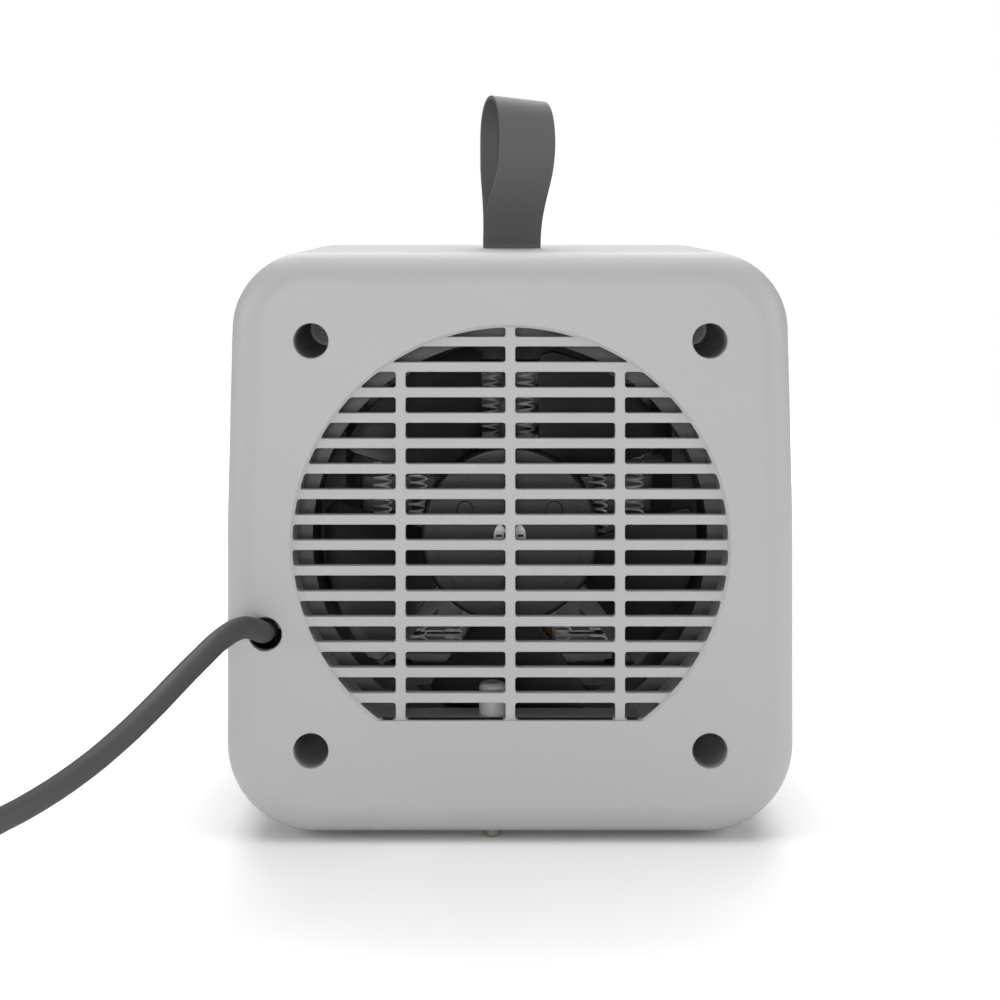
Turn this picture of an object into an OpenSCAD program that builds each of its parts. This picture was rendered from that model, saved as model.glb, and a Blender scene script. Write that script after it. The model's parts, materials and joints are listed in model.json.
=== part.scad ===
// Compact fan heater: a rounded case in two shells, an axial fan that draws air in through
// louvres at the rear, and open wire coils behind a front grille. +Z is up, the front faces -Y,
// and the origin is on the table, under the middle of the heater without its lead.

/* [Case] */
// Width across the sides
body_w = 180; // [172:1:220]
// Height without the feet
body_h = 184; // [178:1:225]
// Depth from the front face to the rear face
body_d = 130; // [126:1:160]
// Wall of both shells
wall = 2.5; // [2:0.1:3]
// Corner radius at the bottom
corner_low_r = 28; // [22:1:32]
// Corner radius at the top
corner_top_r = 24; // [20:1:30]
// How far each side leans in towards the top
side_lean = 2.2; // [0:0.1:4]
// Height at which the sides start to lean, from the case bottom
lean_start = 98; // [80:1:110]
// Round between the sides and the front and rear faces
edge_r = 10.5; // [8:0.5:12]
// Depth of the rear shell, from the rear face to the seam
rear_d = 65; // [60:1:75]

/* [Rear louvres] */
// Radius of the round intake
duct_r = 68.5; // [66:0.5:70]
// Height of the fan axis above the intake's flat bottom edge
duct_drop = 54.9; // [50:0.1:56]
// Spacing of the louvre bars
bar_pitch = 8; // [7:0.1:9]
// Height of each louvre bar
bar_h = 3.1; // [2.5:0.1:4]
// Thickness of the bars and ribs
bar_t = 3; // [2:0.1:4]
// How far the bars sit behind the rear face
bar_recess = 1.3; // [0.5:0.1:2]
// Spacing of the upright ribs
rib_pitch = 34.5; // [30:0.5:38]
// Length of the collar behind the louvres
collar_l = 16; // [12:1:18]

/* [Screws] */
// Distance of the case screws from each side
screw_side = 27.4; // [24:0.1:30]
// Distance of the case screws from the top and the bottom
screw_end = 27.7; // [24:0.1:30]
// Radius of the deep holes that the case screws go down
screw_access_r = 5.5; // [5:0.1:6]
// Radius of a case screw's shank
screw_r = 1.95; // [1.8:0.05:2.2]

/* [Strap] */
// Width of the silicone strap
strap_w = 20; // [16:1:26]
// Thickness of the strap
strap_t = 1.2; // [1:0.1:1.6]
// Height of the loop above the case
strap_h = 52; // [45:1:62]
// Widest opening of the loop, front to back
strap_open = 21; // [18:1:26]
// Sideways place of the strap from the middle
strap_x = -1.2; // [-4:0.1:4]

/* [Fan and motor] */
// Radius over the blade tips
fan_r = 61; // [56:0.5:62]
// Radius of the fan hub
hub_r = 29; // [24:0.5:31]
// Number of blades
blade_n = 5; // [4:1:7]
// Pitch angle of the blades
blade_pitch = 22; // [15:1:28]
// Gap between the blade tips and the shroud
tip_gap = 2.5; // [2:0.1:3]
// Depth of the hub's rear face behind the rear face
fan_depth = 20; // [19:0.5:21]
// Axial length of the hub
hub_l = 16; // [14:0.5:16]
// Radius of the motor shaft
shaft_r = 2; // [1.5:0.1:2.5]
// Radius of the rotor
rotor_r = 12; // [10:0.5:13]
// Thickness of the laminated core
core_l = 16; // [12:0.5:16]

/* [Heating element] */
// Depth of the coils' plane behind the rear face
element_depth = 80; // [79.5:0.5:84]
// Half the inner width of the square heat sleeve
sleeve_half = 55; // [54:0.5:56]
// Spacing of the upright coil runs
coil_pitch = 12.8; // [11:0.1:13]
// Length of each coil run
coil_l = 100; // [90:1:101]
// Outer radius of a coil run
coil_r = 3.5; // [3:0.1:3.7]

/* [Controls] */
// Distance of each knob from the middle
knob_x = 44; // [40:1:46]
// Height of the knobs above the case bottom
knob_z = 21; // [20:0.5:23]
// Radius of the knobs
knob_r = 10; // [8.5:0.5:10.5]
// How far the knobs stand out of the front face
knob_out = 13; // [11:0.5:16]
// Radius of the control spindles
spindle_r = 3; // [2.5:0.1:3.2]

/* [Feet and tip-over switch] */
// Height that the feet stand out of the case
foot_h = 2; // [1.5:0.1:3]
// Radius of the feet
foot_r = 8; // [6:0.5:9]
// Radius of the tip-over plunger
plunger_r = 2.4; // [2:0.1:2.6]
// Travel of the tip-over plunger
plunger_travel = 4; // [3:0.1:4]

/* [Mains lead] */
// Diameter of the mains lead
cord_d = 6.8; // [6:0.1:7]
// Distance of the lead's hole from the side of the case
cord_side = 13; // [12:0.5:16]
// Height of the lead's hole above the case bottom
cord_up = 64.3; // [62:0.1:66]
// Radius of the lead's hole
cord_hole_r = 5.25; // [4.5:0.05:5.5]
// Radius of a plug pin
pin_r = 2.4; // [2.3:0.05:2.45]
// Length of a plug pin
pin_l = 19; // [18:0.5:19.5]
// Spacing of the plug pins
pin_pitch = 19; // [18:0.5:19]

/* [Hidden] */
$fn = 48;

body_grey = [0.71, 0.70, 0.71];
dark_grey = [0.28, 0.28, 0.28];
fan_grey = [0.14, 0.14, 0.15];
steel = [0.72, 0.72, 0.74];

gap = 0.3;          // clearance between pieces that only lie near each other
slip = 0.05;        // radial clearance of a turning or sliding fit
bite = 0.5;         // how far a boss or rib is sunk into the wall that carries it

// Main planes
face_y = -(body_d + knob_out) / 2 + knob_out;
rear_y = face_y + body_d;
base_z = foot_h;
top_z = base_z + body_h;
axis_z = base_z + body_h / 2;
front_d = body_d - rear_d;

// Screws and their towers
screw_xs = [-1, 1] * (body_w / 2 - screw_side);
screw_zs = [base_z + screw_end, top_z - screw_end];
tower_r = screw_access_r + 2.1;
tower_floor = 6;
screw_head_r = 4;
screw_head_h = 3;
screw_bite_l = 14;
boss_r = 5;

// Louvres
collar_wall = 2;
rim_chamfer = 2.2;
bar_low = -floor((duct_drop - bar_h / 2) / bar_pitch);
bar_high = floor((duct_r - bar_h / 2) / bar_pitch);

// Shroud, fan and motor, as depths behind the rear face
shroud_r = fan_r + tip_gap;
shroud_wall = 2.5;
shroud_depth = collar_l + 0.2;
flange_t = 2;
spoke_depth = fan_depth + hub_l + 4;
spoke_t = 3;
spoke_w = 6;
shroud_end = spoke_depth + 6;
ear_r = 4.5;
ear_ring_r = duct_r + collar_wall + 5.5;
ear_angles = [20, 160, 215, 325];
small_screw_r = 1.5;
hub_wall = 2;
hub_boss_r = 5.5;
blade_t = 1.8;
bridge_depth = spoke_depth + spoke_t;
bridge_t = 1.5;
cup_r = 6.5;
bearing_r = 5;
bearing_l = 5;
core_depth = bridge_depth + 7;
motor_screw_x = 19;
motor_plate_r = 24;
front_bridge_end = core_depth + core_l + 7;
core_half_w = 24;
core_top = 18;
limb_low = 36;
limb_h = 8;
leg_w = 8;
air_gap = 0.4;
shaft_start = fan_depth - 3;
shaft_end = front_bridge_end + 0.8;

// Element and its sleeve
sleeve_t = 0.8;
sleeve_corner = 14;
sleeve_depth = shroud_end;
sleeve_flange_r = shroud_r + shroud_wall + 8;
grille_l = 5.5;
grille_recess = 0.5;
slat_d = grille_l - 1;
slat_rise = 4.4;
sleeve_end = body_d - grille_recess - grille_l;
outlet_half = sleeve_half + sleeve_t + 1.4;
outlet_corner = sleeve_corner + 2;
grille_frame = 2.6;
card_t = 1;
card_l = 12;
card_low_z = coil_l / 2 + card_t / 2;
card_mid_z = 17;
run_xs = [for (i = [0:3]) (i + 0.5) * coil_pitch];
lead_hole_r = 4;
lead_x = 38;
tab_h = 0.6;

// Controls, as depths behind the rear face
control_front = body_d - wall;
control_half = 11;
control_l = 16;
bushing_r = 5;
nut_h = 2.2;
knob_cavity_r = knob_r - 1.6;
knob_gap = 0.6;
pilot_r = 3;
pilot_flange = 1.2;
pilot_back = control_front - pilot_flange;

// Tip-over switch
tip_x = 5.6;
tip_depth = 10;
tip_y = rear_y - tip_depth;
post_r = 4.35;
ledge_z = axis_z - duct_drop;
post_top = ledge_z + 10;
plunger_top = post_top - 13;
spring_top = post_top - 3;
collar_z = base_z + 12;
collar_t = 2;
collar_r = 5.5;
guide_r = 4.5;
guide_top = collar_z - plunger_travel - 0.2;
tip_switch_x = tip_x + plunger_r + 1.4;
tip_switch_z = collar_z + collar_t + gap;
tip_switch_half = 3.2;
tip_peg_r = 1.15;
tip_peg_xs = [tip_switch_x + 4, tip_switch_x + 15];
tip_peg_z = tip_switch_z + 6;

// Terminal block
block_x0 = 28;
block_x1 = 48;
block_d = 73;
block_z = base_z + wall;

// Strap
leg_t = 2 * strap_t;
pivot_z = top_z + leg_t / 2 + gap;
strap_peak = 0.702;
loop_a = (strap_open / 2) / strap_peak;
loop_h = strap_h - leg_t / 2 - gap - strap_t / 2;
loop_steps = 36;
strap_seam_y = rear_y - rear_d;
pin_bar_r = 2;
pin_bar_z = top_z - wall - 9;
rib_x = strap_w / 2 + 4;
rib_t = 3;

// Lead: hand-set route as [sideways from its hole, behind the rear face, up], down to the table
cord_r = cord_d / 2;
cord_x = body_w / 2 - cord_side;
cord_z = base_z + cord_up;
cord_route = [
    [0, -28, 66.3], [0, -14, 66.3], [0.5, 0, 67], [2.2, 8, 69.8], [5.4, 16, 71.8],
    [10, 27, 70.8], [14.5, 37, 67.5], [19, 47, 63.8], [25.3, 60, 58.3], [32, 69.5, 52.8],
    [42, 79, 45.8], [54, 85, 39], [61, 86, 35.5], [69, 85, 31], [77, 81.5, 26],
    [83, 76, 21], [87.5, 68, 15.5], [89.6, 59, 10.5], [90, 49, 6.8], [90, 39, 4.6],
    [90, 29, 3.6], [90, 19, 3.4], [90, 9, 3.4]
];
cord_sides = 10;
clamp_half = 8.6;
clamp_start = 7;
clamp_end = 13;
clamp_top = cord_z + cord_r + 3;
clamp_screw_x = 6.5;
clamp_screw_depth = 9;
clamp_shank_r = 1.2;
clamp_head_r = 2.4;
clamp_head_h = 1.6;
lead_sides = 8;
coil_x = cord_x + 135;
coil_back = 5;
coil_mid_r = 38;
coil_out_r = coil_mid_r + 1.5 * cord_d;
coil_in_r = coil_mid_r - 1.5 * cord_d;
coil_top = cord_d * 1.88;
tail_route = [
    [105.5, -24.5, 10.2], [113, -32.3, 10.2], [120.5, -40, 9.8], [128, -47.4, 7.6], [136.5, -54, 5.4],
    [146, -58.6, 4.4], [155.5, -61, 4.9], [165, -61.8, 6.6]
];
plug_tilt = 14;
plug_heading = -5;
plug_neck_l = 20;
plug_neck_r = 5.5;
plug_l = 16;
plug_r = 18;
plug_flat = 13.5;
pin_root_r = 2;
pin_root_l = 8;
pin_tip = 1;

// Places a flat (sideways, up) drawing at a depth behind the rear face; it grows towards the front
module at_depth(d) {
    translate([0, rear_y - d, 0]) rotate([90, 0, 0]) children();
}

// The same, centred on the fan's axis
module on_axis(d) {
    at_depth(d) translate([0, axis_z, 0]) children();
}

module block(x0, x1, d0, d1, z0, z1) {
    translate([x0, rear_y - d1, z0]) cube([x1 - x0, d1 - d0, z1 - z0]);
}

module ring(outer_r, inner_r, h) {
    difference() {
        cylinder(r = outer_r, h = h);
        translate([0, 0, -1]) cylinder(r = inner_r, h = h + 2);
    }
}

module rounded_square(half_w, half_h, r) {
    for (x = [-1, 1], z = [-1, 1]) translate([x * (half_w - r), z * (half_h - r)]) circle(r = r);
    square([2 * half_w, 2 * (half_h - r)], center = true);
    square([2 * (half_w - r), 2 * half_h], center = true);
}

module square_tube(outer_half, inner_half, outer_corner, inner_corner, h) {
    difference() {
        linear_extrude(h) rounded_square(outer_half, outer_half, outer_corner);
        translate([0, 0, -1]) linear_extrude(h + 2) rounded_square(inner_half, inner_half, inner_corner);
    }
}

// Profile of a puck with rounded rims, which the case is stretched over at each corner
function puck_profile(r, e, len, n) = concat(
    [[0, 0]],
    [for (i = [0:n]) [r - e + e * sin(90 * i / n), e - e * cos(90 * i / n)]],
    [for (i = [0:n]) [r - e + e * cos(90 * i / n), len - e + e * sin(90 * i / n)]],
    [[0, len]]
);

module puck(x, z, r, inset) {
    translate([x, face_y + inset, z]) rotate([-90, 0, 0])
        rotate_extrude($fn = 32) polygon(puck_profile(r - inset, edge_r - inset, body_d - 2 * inset, 5));
}

module case_solid(inset) {
    low_x = body_w / 2 - corner_low_r;
    top_x = body_w / 2 - side_lean - corner_top_r;
    hull() for (s = [-1, 1]) {
        puck(s * low_x, base_z + corner_low_r, corner_low_r, inset);
        puck(s * low_x, base_z + lean_start, corner_low_r, inset);
        puck(s * top_x, top_z - corner_top_r, corner_top_r, inset);
    }
}

module rear_half() {
    translate([-body_w, strap_seam_y, -1]) cube([2 * body_w, body_d, body_h * 2]);
}

module front_half() {
    translate([-body_w, strap_seam_y - body_d, -1]) cube([2 * body_w, body_d, body_h * 2]);
}

module duct_outline(r) {
    low = duct_drop + r - duct_r;
    intersection() {
        circle(r = r);
        translate([-r - 1, -low]) square([2 * r + 2, low + r + 1]);
    }
}

module louvres() {
    on_axis(bar_recess) linear_extrude(bar_t) intersection() {
        duct_outline(duct_r + 1);
        union() {
            for (k = [bar_low:bar_high]) translate([-duct_r - 1, k * bar_pitch - bar_h / 2])
                square([2 * duct_r + 2, bar_h]);
            translate([-bar_h / 2, -duct_r]) square([bar_h, 2 * duct_r + 1]);
            for (s = [-1, 1]) translate([s * rib_pitch - bar_h / 2, -duct_r])
                square([bar_h, duct_r + (bar_high - 1) * bar_pitch]);
        }
    }
}

module at_screws() {
    for (x = screw_xs, z = screw_zs) translate([x, z, 0]) children();
}

module at_ears() {
    for (a = ear_angles) rotate(a) translate([ear_ring_r, 0, 0]) children();
}

module post_dome() {
    dome_h = 2.5;
    steps = 6;
    rotate_extrude() polygon(concat(
        [[0, 0]],
        [for (i = [0:steps]) [post_r * cos(90 * i / steps), dome_h * sin(90 * i / steps)]]
    ));
}

module tip_post() {
    dome_h = 2.5;
    translate([tip_x, tip_y, plunger_top - 6]) cylinder(r = post_r, h = post_top - dome_h - plunger_top + 6);
    translate([tip_x, tip_y, post_top - dome_h]) post_dome();
}

// Two ribs that trap the strap's cross pin where the shells meet
module strap_ribs(d0, d1) {
    for (s = [-1, 1]) block(strap_x + s * rib_x - rib_t / 2, strap_x + s * rib_x + rib_t / 2, d0, d1,
        pin_bar_z - 5, top_z - wall + bite);
}

module strap_slot() {
    block(strap_x - strap_w / 2 - gap, strap_x + strap_w / 2 + gap,
        rear_d - strap_t - gap, rear_d + strap_t + gap, top_z - wall - 3, top_z + 1);
}

module pin_hole() {
    translate([-body_w / 4, strap_seam_y, pin_bar_z]) rotate([0, 90, 0])
        cylinder(r = pin_bar_r + 0.1, h = body_w / 2);
}

module clamp_shelf() {
    block(cord_x - 9, body_w / 2 - wall + bite, wall - bite, 14, cord_z - cord_r - 6, cord_z - 0.6);
}

// Pegs that carry the tip-over switch beside its plunger
module switch_pegs() {
    for (x = tip_peg_xs) at_depth(wall - bite) translate([x, tip_peg_z, 0]) {
        cylinder(r = 2.6, h = tip_depth - tip_switch_half - wall + bite);
        cylinder(r = tip_peg_r, h = tip_depth + tip_switch_half - wall + bite);
    }
}

module rear_shell() {
    color(body_grey) difference() {
        union() {
            difference() {
                intersection() {
                    case_solid(0);
                    rear_half();
                }
                case_solid(wall);
            }
            on_axis(wall - bite) linear_extrude(collar_l - wall + bite) duct_outline(duct_r + collar_wall);
            at_depth(wall - bite) at_screws() cylinder(r = tower_r, h = rear_d - wall + bite);
            on_axis(wall - bite) at_ears() cylinder(r = 3.5, h = shroud_depth - wall + bite);
            clamp_shelf();
            switch_pegs();
            translate([tip_x, tip_y, base_z + wall - bite])
                cylinder(r = guide_r, h = guide_top - base_z - wall + bite);
            strap_ribs(rear_d - 8, rear_d);
        }
        on_axis(-1) linear_extrude(collar_l + 2) duct_outline(duct_r);
        on_axis(-0.01) intersection() {
            cylinder(r1 = duct_r + rim_chamfer, r2 = duct_r - 0.01, h = rim_chamfer);
            translate([-duct_r * 2, -duct_drop, -1]) cube([duct_r * 4, duct_r * 4, rim_chamfer + 2]);
        }
        at_depth(-1) at_screws() {
            cylinder(r = screw_access_r, h = rear_d - tower_floor + 1);
            cylinder(r = screw_r + 0.25, h = rear_d + 2);
        }
        on_axis(4) at_ears() cylinder(r = small_screw_r + 0.1, h = collar_l);
        at_depth(-1) translate([cord_x, cord_z, 0]) cylinder(r = cord_hole_r, h = wall + 1.5);
        at_depth(wall - 2) translate([cord_x, cord_z, 0]) cylinder(r = cord_r + 0.1, h = 20);
        for (s = [-1, 1]) translate([cord_x + s * 6.5, rear_y - 9, cord_z - cord_r - 4])
            cylinder(r = 1.3, h = 12);
        translate([tip_x, tip_y, base_z - 1]) cylinder(r = plunger_r + 0.1, h = guide_top);
        translate([tip_x, tip_y, plunger_top - 7]) cylinder(r = post_r - 0.01, h = 20);
        strap_slot();
        pin_hole();
        foot_holes();
    }
    color(body_grey) louvres();
    color(body_grey) difference() {
        tip_post();
        translate([tip_x, tip_y, plunger_top - 7])
            cylinder(r = plunger_r + 0.1, h = spring_top - plunger_top + 7);
    }
}

module front_shell() {
    lip = 1.2;
    lip_l = 3;
    color(body_grey) difference() {
        union() {
            difference() {
                intersection() {
                    case_solid(0);
                    front_half();
                }
                case_solid(wall);
            }
            difference() {
                intersection() {
                    case_solid(wall + 0.15);
                    block(-body_w, body_w, rear_d - lip_l, rear_d + 2 * lip_l, 0, top_z + 1);
                }
                case_solid(wall + 0.15 + lip);
            }
            at_depth(rear_d) at_screws() cylinder(r = boss_r, h = front_d - wall + bite);
            on_axis(sleeve_end - 8) linear_extrude(body_d - sleeve_end + 8 - wall + bite)
                rounded_square(outlet_half + 2, outlet_half + 2, outlet_corner + 2);
            strap_ribs(rear_d, rear_d + 8);
        }
        on_axis(sleeve_end - 9) linear_extrude(body_d)
            rounded_square(outlet_half, outlet_half, outlet_corner);
        at_depth(rear_d - 1) at_screws() cylinder(r = screw_r + 0.1, h = screw_bite_l + 4);
        for (s = [-1, 1]) at_depth(control_front - 1) translate([s * knob_x, base_z + knob_z, 0])
            cylinder(r = bushing_r + 0.15, h = wall + 4);
        at_depth(control_front - 1) translate([0, base_z + knob_z, 0])
            cylinder(r = pilot_r + 0.1, h = wall + 4);
        for (s = [-1, 1]) block(strap_x + s * rib_x - rib_t / 2 - gap, strap_x + s * rib_x + rib_t / 2 + gap,
            rear_d - lip_l - 1, rear_d, top_z - wall - lip - 1, top_z);
        strap_slot();
        pin_hole();
        foot_holes();
    }
}

module front_grille() {
    color(dark_grey) on_axis(sleeve_end) {
        square_tube(outlet_half - gap, outlet_half - gap - grille_frame,
            outlet_corner - gap, outlet_corner - gap - grille_frame, grille_l);
        intersection() {
            linear_extrude(slat_d)
                rounded_square(outlet_half - gap - 1, outlet_half - gap - 1, outlet_corner - gap - 1);
            union() {
                for (k = [-7:7]) translate([-outlet_half, k * bar_pitch, 0]) slat();
                for (s = [-1, 0, 1]) translate([s * rib_pitch - bar_h / 2, -outlet_half, 0])
                    cube([bar_h, 2 * outlet_half, slat_d]);
            }
        }
    }
}

// One grille slat, rising towards the front so that nothing shows straight through
module slat() {
    low = -slat_rise / 2 - bar_h / 2;
    rotate([90, 0, 90]) linear_extrude(2 * outlet_half) polygon([
        [low, 0], [low + bar_h, 0], [low + bar_h + slat_rise, slat_d], [low + slat_rise, slat_d]
    ]);
}

module case_screws() {
    color(steel) at_depth(rear_d - tower_floor - screw_head_h) at_screws() difference() {
        union() {
            cylinder(r = screw_head_r, h = screw_head_h);
            cylinder(r = screw_r, h = screw_head_h + tower_floor + screw_bite_l);
        }
        for (a = [0, 90]) rotate(a) translate([-2.2, -0.5, -1]) cube([4.4, 1, 2.8]);
    }
}

function foot_spots() = [for (x = [-1, 1], y = [face_y + 24, rear_y - 24]) [x * (body_w / 2 - 34), y]];

module foot_holes() {
    for (p = foot_spots()) translate([p[0], p[1], base_z - 1]) cylinder(r = 3.1, h = wall + 2);
}

module feet() {
    color([0.2, 0.2, 0.2]) for (p = foot_spots()) translate([p[0], p[1], 0]) {
        cylinder(r1 = foot_r - 0.6, r2 = foot_r, h = 0.8);
        translate([0, 0, 0.8]) cylinder(r = foot_r, h = foot_h - 0.8);
        translate([0, 0, foot_h]) cylinder(r = 3, h = wall + 0.2);
        translate([0, 0, foot_h + wall + 0.2]) cylinder(r1 = 3.8, r2 = 2.6, h = 2);
    }
}

// The strap's loop is a drop shape: the legs leave the slot side by side and bow apart
function loop_point(u) = [loop_a * sin(u) * pow(sin(u / 2), 1.5), loop_h * (1 - cos(u)) / 2];
function loop_normal(u) = let (p = loop_point(u - 0.5), q = loop_point(u + 0.5), t = (q - p) / norm(q - p))
    [t[1], -t[0]];
function loop_side(off, first, last) = [for (i = [0:loop_steps])
    let (u = first + (last - first) * i / loop_steps) loop_point(u) + off * loop_normal(u)];

module strap_outline(off, first) {
    polygon(loop_side(off, first, 360 - first));
}

module strap_handle() {
    color(dark_grey) translate([strap_x + strap_w / 2, strap_seam_y, pivot_z]) rotate([90, 0, -90]) {
        linear_extrude(strap_w) difference() {
            strap_outline(strap_t / 2, 30);
            strap_outline(-strap_t / 2, 42);
        }
        translate([-leg_t / 2, 0, 0]) cube([leg_t, loop_h * 0.075, strap_w]);
        cylinder(r = leg_t / 2, h = strap_w);
    }
}

module strap_anchor() {
    sleeve_r = pin_bar_r + strap_t + 0.1;
    color(dark_grey) translate([strap_x - strap_w / 2, strap_seam_y, 0]) difference() {
        union() {
            translate([0, -strap_t, pin_bar_z]) cube([strap_w, leg_t, top_z - pin_bar_z]);
            translate([0, 0, pin_bar_z]) rotate([0, 90, 0]) cylinder(r = sleeve_r, h = strap_w);
        }
        translate([-1, 0, pin_bar_z]) rotate([0, 90, 0]) cylinder(r = pin_bar_r + 0.1, h = strap_w + 2);
    }
}

module strap_pin() {
    color(steel) translate([strap_x - rib_x - 3, strap_seam_y, pin_bar_z]) rotate([0, 90, 0])
        cylinder(r = pin_bar_r, h = 2 * rib_x + 6);
}

module fan_shroud() {
    color(fan_grey) on_axis(shroud_depth) difference() {
        union() {
            difference() {
                union() {
                    cylinder(r = shroud_r + shroud_wall, h = shroud_end - shroud_depth);
                    linear_extrude(flange_t) {
                        circle(r = duct_r + collar_wall + 2);
                        at_ears() circle(r = ear_r);
                    }
                }
                translate([0, 0, -1]) cylinder(r = shroud_r, h = shroud_end);
            }
            translate([0, 0, spoke_depth - shroud_depth]) linear_extrude(spoke_t) {
                circle(r = motor_plate_r);
                for (a = [45, 135]) rotate(a) square([2 * shroud_r + 2, spoke_w], center = true);
            }
        }
        translate([0, 0, -1]) cylinder(r = cup_r + 0.5, h = shroud_end);
        translate([0, 0, -1]) at_ears() cylinder(r = small_screw_r + 0.2, h = flange_t + 2);
        for (s = [-1, 1]) translate([s * motor_screw_x, 0, -1])
            cylinder(r = small_screw_r + 0.1, h = shroud_end);
    }
}

module small_screw(l) {
    difference() {
        union() {
            cylinder(r = 2.8, h = 1.8);
            translate([0, 0, -l]) cylinder(r = small_screw_r, h = l + 1);
        }
        translate([-2, -0.4, 0.8]) cube([4, 0.8, 2]);
    }
}

module shroud_screws() {
    color(steel) on_axis(shroud_depth + flange_t) at_ears() small_screw(11);
}

module fan_wheel() {
    color(fan_grey) on_axis(fan_depth) difference() {
        union() {
            difference() {
                cylinder(r = hub_r, h = hub_l);
                translate([0, 0, hub_wall]) cylinder(r = hub_r - hub_wall, h = hub_l);
            }
            cylinder(r = hub_boss_r, h = hub_l - 2);
            intersection() {
                translate([0, 0, 1]) ring(fan_r, hub_r - hub_wall / 2, hub_l);
                for (i = [0:blade_n - 1]) rotate(54 + i * 360 / blade_n)
                    translate([0, 0, 1 + hub_l / 2]) rotate([blade_pitch, 0, 0]) blade();
            }
        }
        translate([0, 0, -1]) cylinder(r = shaft_r + 0.02, h = hub_l + 2);
        for (a = [30, 150, 270]) rotate(a) translate([0.575 * hub_r, 0, -1]) cylinder(r = 2.5, h = 1.3);
        translate([0, 0, -1]) ring(0.83 * hub_r, 0.79 * hub_r, 1.3);
    }
}

module blade() {
    root = hub_r - hub_wall;
    tip = fan_r + 1;
    translate([0, 0, -blade_t / 2]) linear_extrude(blade_t)
        polygon([[root, -0.43 * root], [tip, -0.43 * tip], [tip, 0.43 * tip], [root, 0.43 * root]]);
}

module fan_clip() {
    color(steel) on_axis(fan_depth - 1.2) difference() {
        ring(5.2, shaft_r + 0.02, 1);
        for (a = [0:60:300]) rotate(a) translate([shaft_r + 0.6, -0.4, -1]) cube([1.8, 0.8, 3]);
    }
}

module motor_shaft() {
    color(steel) on_axis(shaft_start) {
        translate([0, 0, 0.5]) cylinder(r = shaft_r, h = shaft_end - shaft_start - 1);
        cylinder(r1 = shaft_r - 0.5, r2 = shaft_r, h = 0.5);
        translate([0, 0, shaft_end - shaft_start - 0.5]) cylinder(r1 = shaft_r, r2 = shaft_r - 0.5, h = 0.5);
    }
}

module motor_rotor() {
    color([0.55, 0.55, 0.57]) on_axis(core_depth) difference() {
        cylinder(r = rotor_r, h = core_l);
        translate([0, 0, -1]) cylinder(r = shaft_r + 0.02, h = core_l + 2);
        translate([0, 0, -1]) ring(rotor_r - 3, shaft_r + 3, 2);
        translate([0, 0, core_l - 1]) ring(rotor_r - 3, shaft_r + 3, 2);
    }
}

module motor_core() {
    window_top = core_top + 1;
    color([0.42, 0.42, 0.44]) on_axis(core_depth) difference() {
        translate([-core_half_w, -limb_low, 0]) cube([2 * core_half_w, limb_low + core_top, core_l]);
        translate([0, 0, -1]) cylinder(r = rotor_r + air_gap, h = core_l + 2);
        translate([-core_half_w + leg_w, -limb_low + limb_h, -1])
            cube([2 * (core_half_w - leg_w), limb_low - limb_h - window_top + 1, core_l + 2]);
        for (s = [-1, 1]) translate([s * motor_screw_x, 0, -1])
            cylinder(r = small_screw_r + 0.1, h = core_l + 2);
        for (s = [-1, 1]) rotate(s * 50) translate([rotor_r - 0.5, -0.6, -1]) cube([3.5, 1.2, core_l + 2]);
    }
}

// Bobbin and winding sit on the core's lower limb
module limb_block(grow, x_half, inner) {
    on_axis(core_depth) difference() {
        translate([-x_half, -limb_low - grow, -grow])
            cube([2 * x_half, limb_h + 2 * grow, core_l + 2 * grow]);
        translate([-x_half - 1, -limb_low - inner, -inner])
            cube([2 * x_half + 2, limb_h + 2 * inner, core_l + 2 * inner]);
    }
}

module motor_bobbin() {
    half = core_half_w - leg_w - gap;
    flange = 1.2;
    color([0.85, 0.84, 0.78]) {
        limb_block(1.2, half, 0.2);
        for (s = [-1, 1]) translate([s * (half - flange / 2), 0, 0]) limb_block(5, flange / 2, 0.2);
    }
}

module motor_winding() {
    color([0.72, 0.42, 0.2]) limb_block(4.4, core_half_w - leg_w - gap - 1.4, 1.3);
}

module bridge_plate() {
    difference() {
        union() {
            translate([-motor_screw_x, -5, 0]) cube([2 * motor_screw_x, 10, bridge_t]);
            for (s = [-1, 1]) translate([s * motor_screw_x, 0, 0]) cylinder(r = 5, h = bridge_t);
            for (s = [-1, 1]) translate([s * motor_screw_x, 0, 0]) cylinder(r = 3.2, h = 7);
            cylinder(r = cup_r, h = bearing_l + 1);
        }
        translate([0, 0, 1]) cylinder(r = bearing_r + 0.02, h = bearing_l + 1);
        translate([0, 0, -1]) cylinder(r = shaft_r + 0.5, h = 4);
        for (s = [-1, 1]) translate([s * motor_screw_x, 0, -1]) cylinder(r = small_screw_r + 0.1, h = 10);
    }
}

module motor_bridge_rear() {
    color(steel) on_axis(bridge_depth) bridge_plate();
}

module motor_bridge_front() {
    color(steel) on_axis(front_bridge_end) mirror([0, 0, 1]) bridge_plate();
}

module bearing() {
    ring(bearing_r, shaft_r + slip, bearing_l);
}

module bearing_rear() {
    color([0.7, 0.55, 0.3]) on_axis(bridge_depth + 1) bearing();
}

module bearing_front() {
    color([0.7, 0.55, 0.3]) on_axis(front_bridge_end - 1 - bearing_l) bearing();
}

module motor_screws() {
    l = front_bridge_end - spoke_depth;
    color(steel) for (s = [-1, 1]) on_axis(spoke_depth) translate([s * motor_screw_x, 0, 0]) {
        translate([0, 0, -1.8]) cylinder(r = 2.8, h = 1.8);
        cylinder(r = small_screw_r, h = l + 2.2);
        translate([0, 0, l]) ring(2.9, small_screw_r - 0.2, 2, $fn = 6);
    }
}

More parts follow.
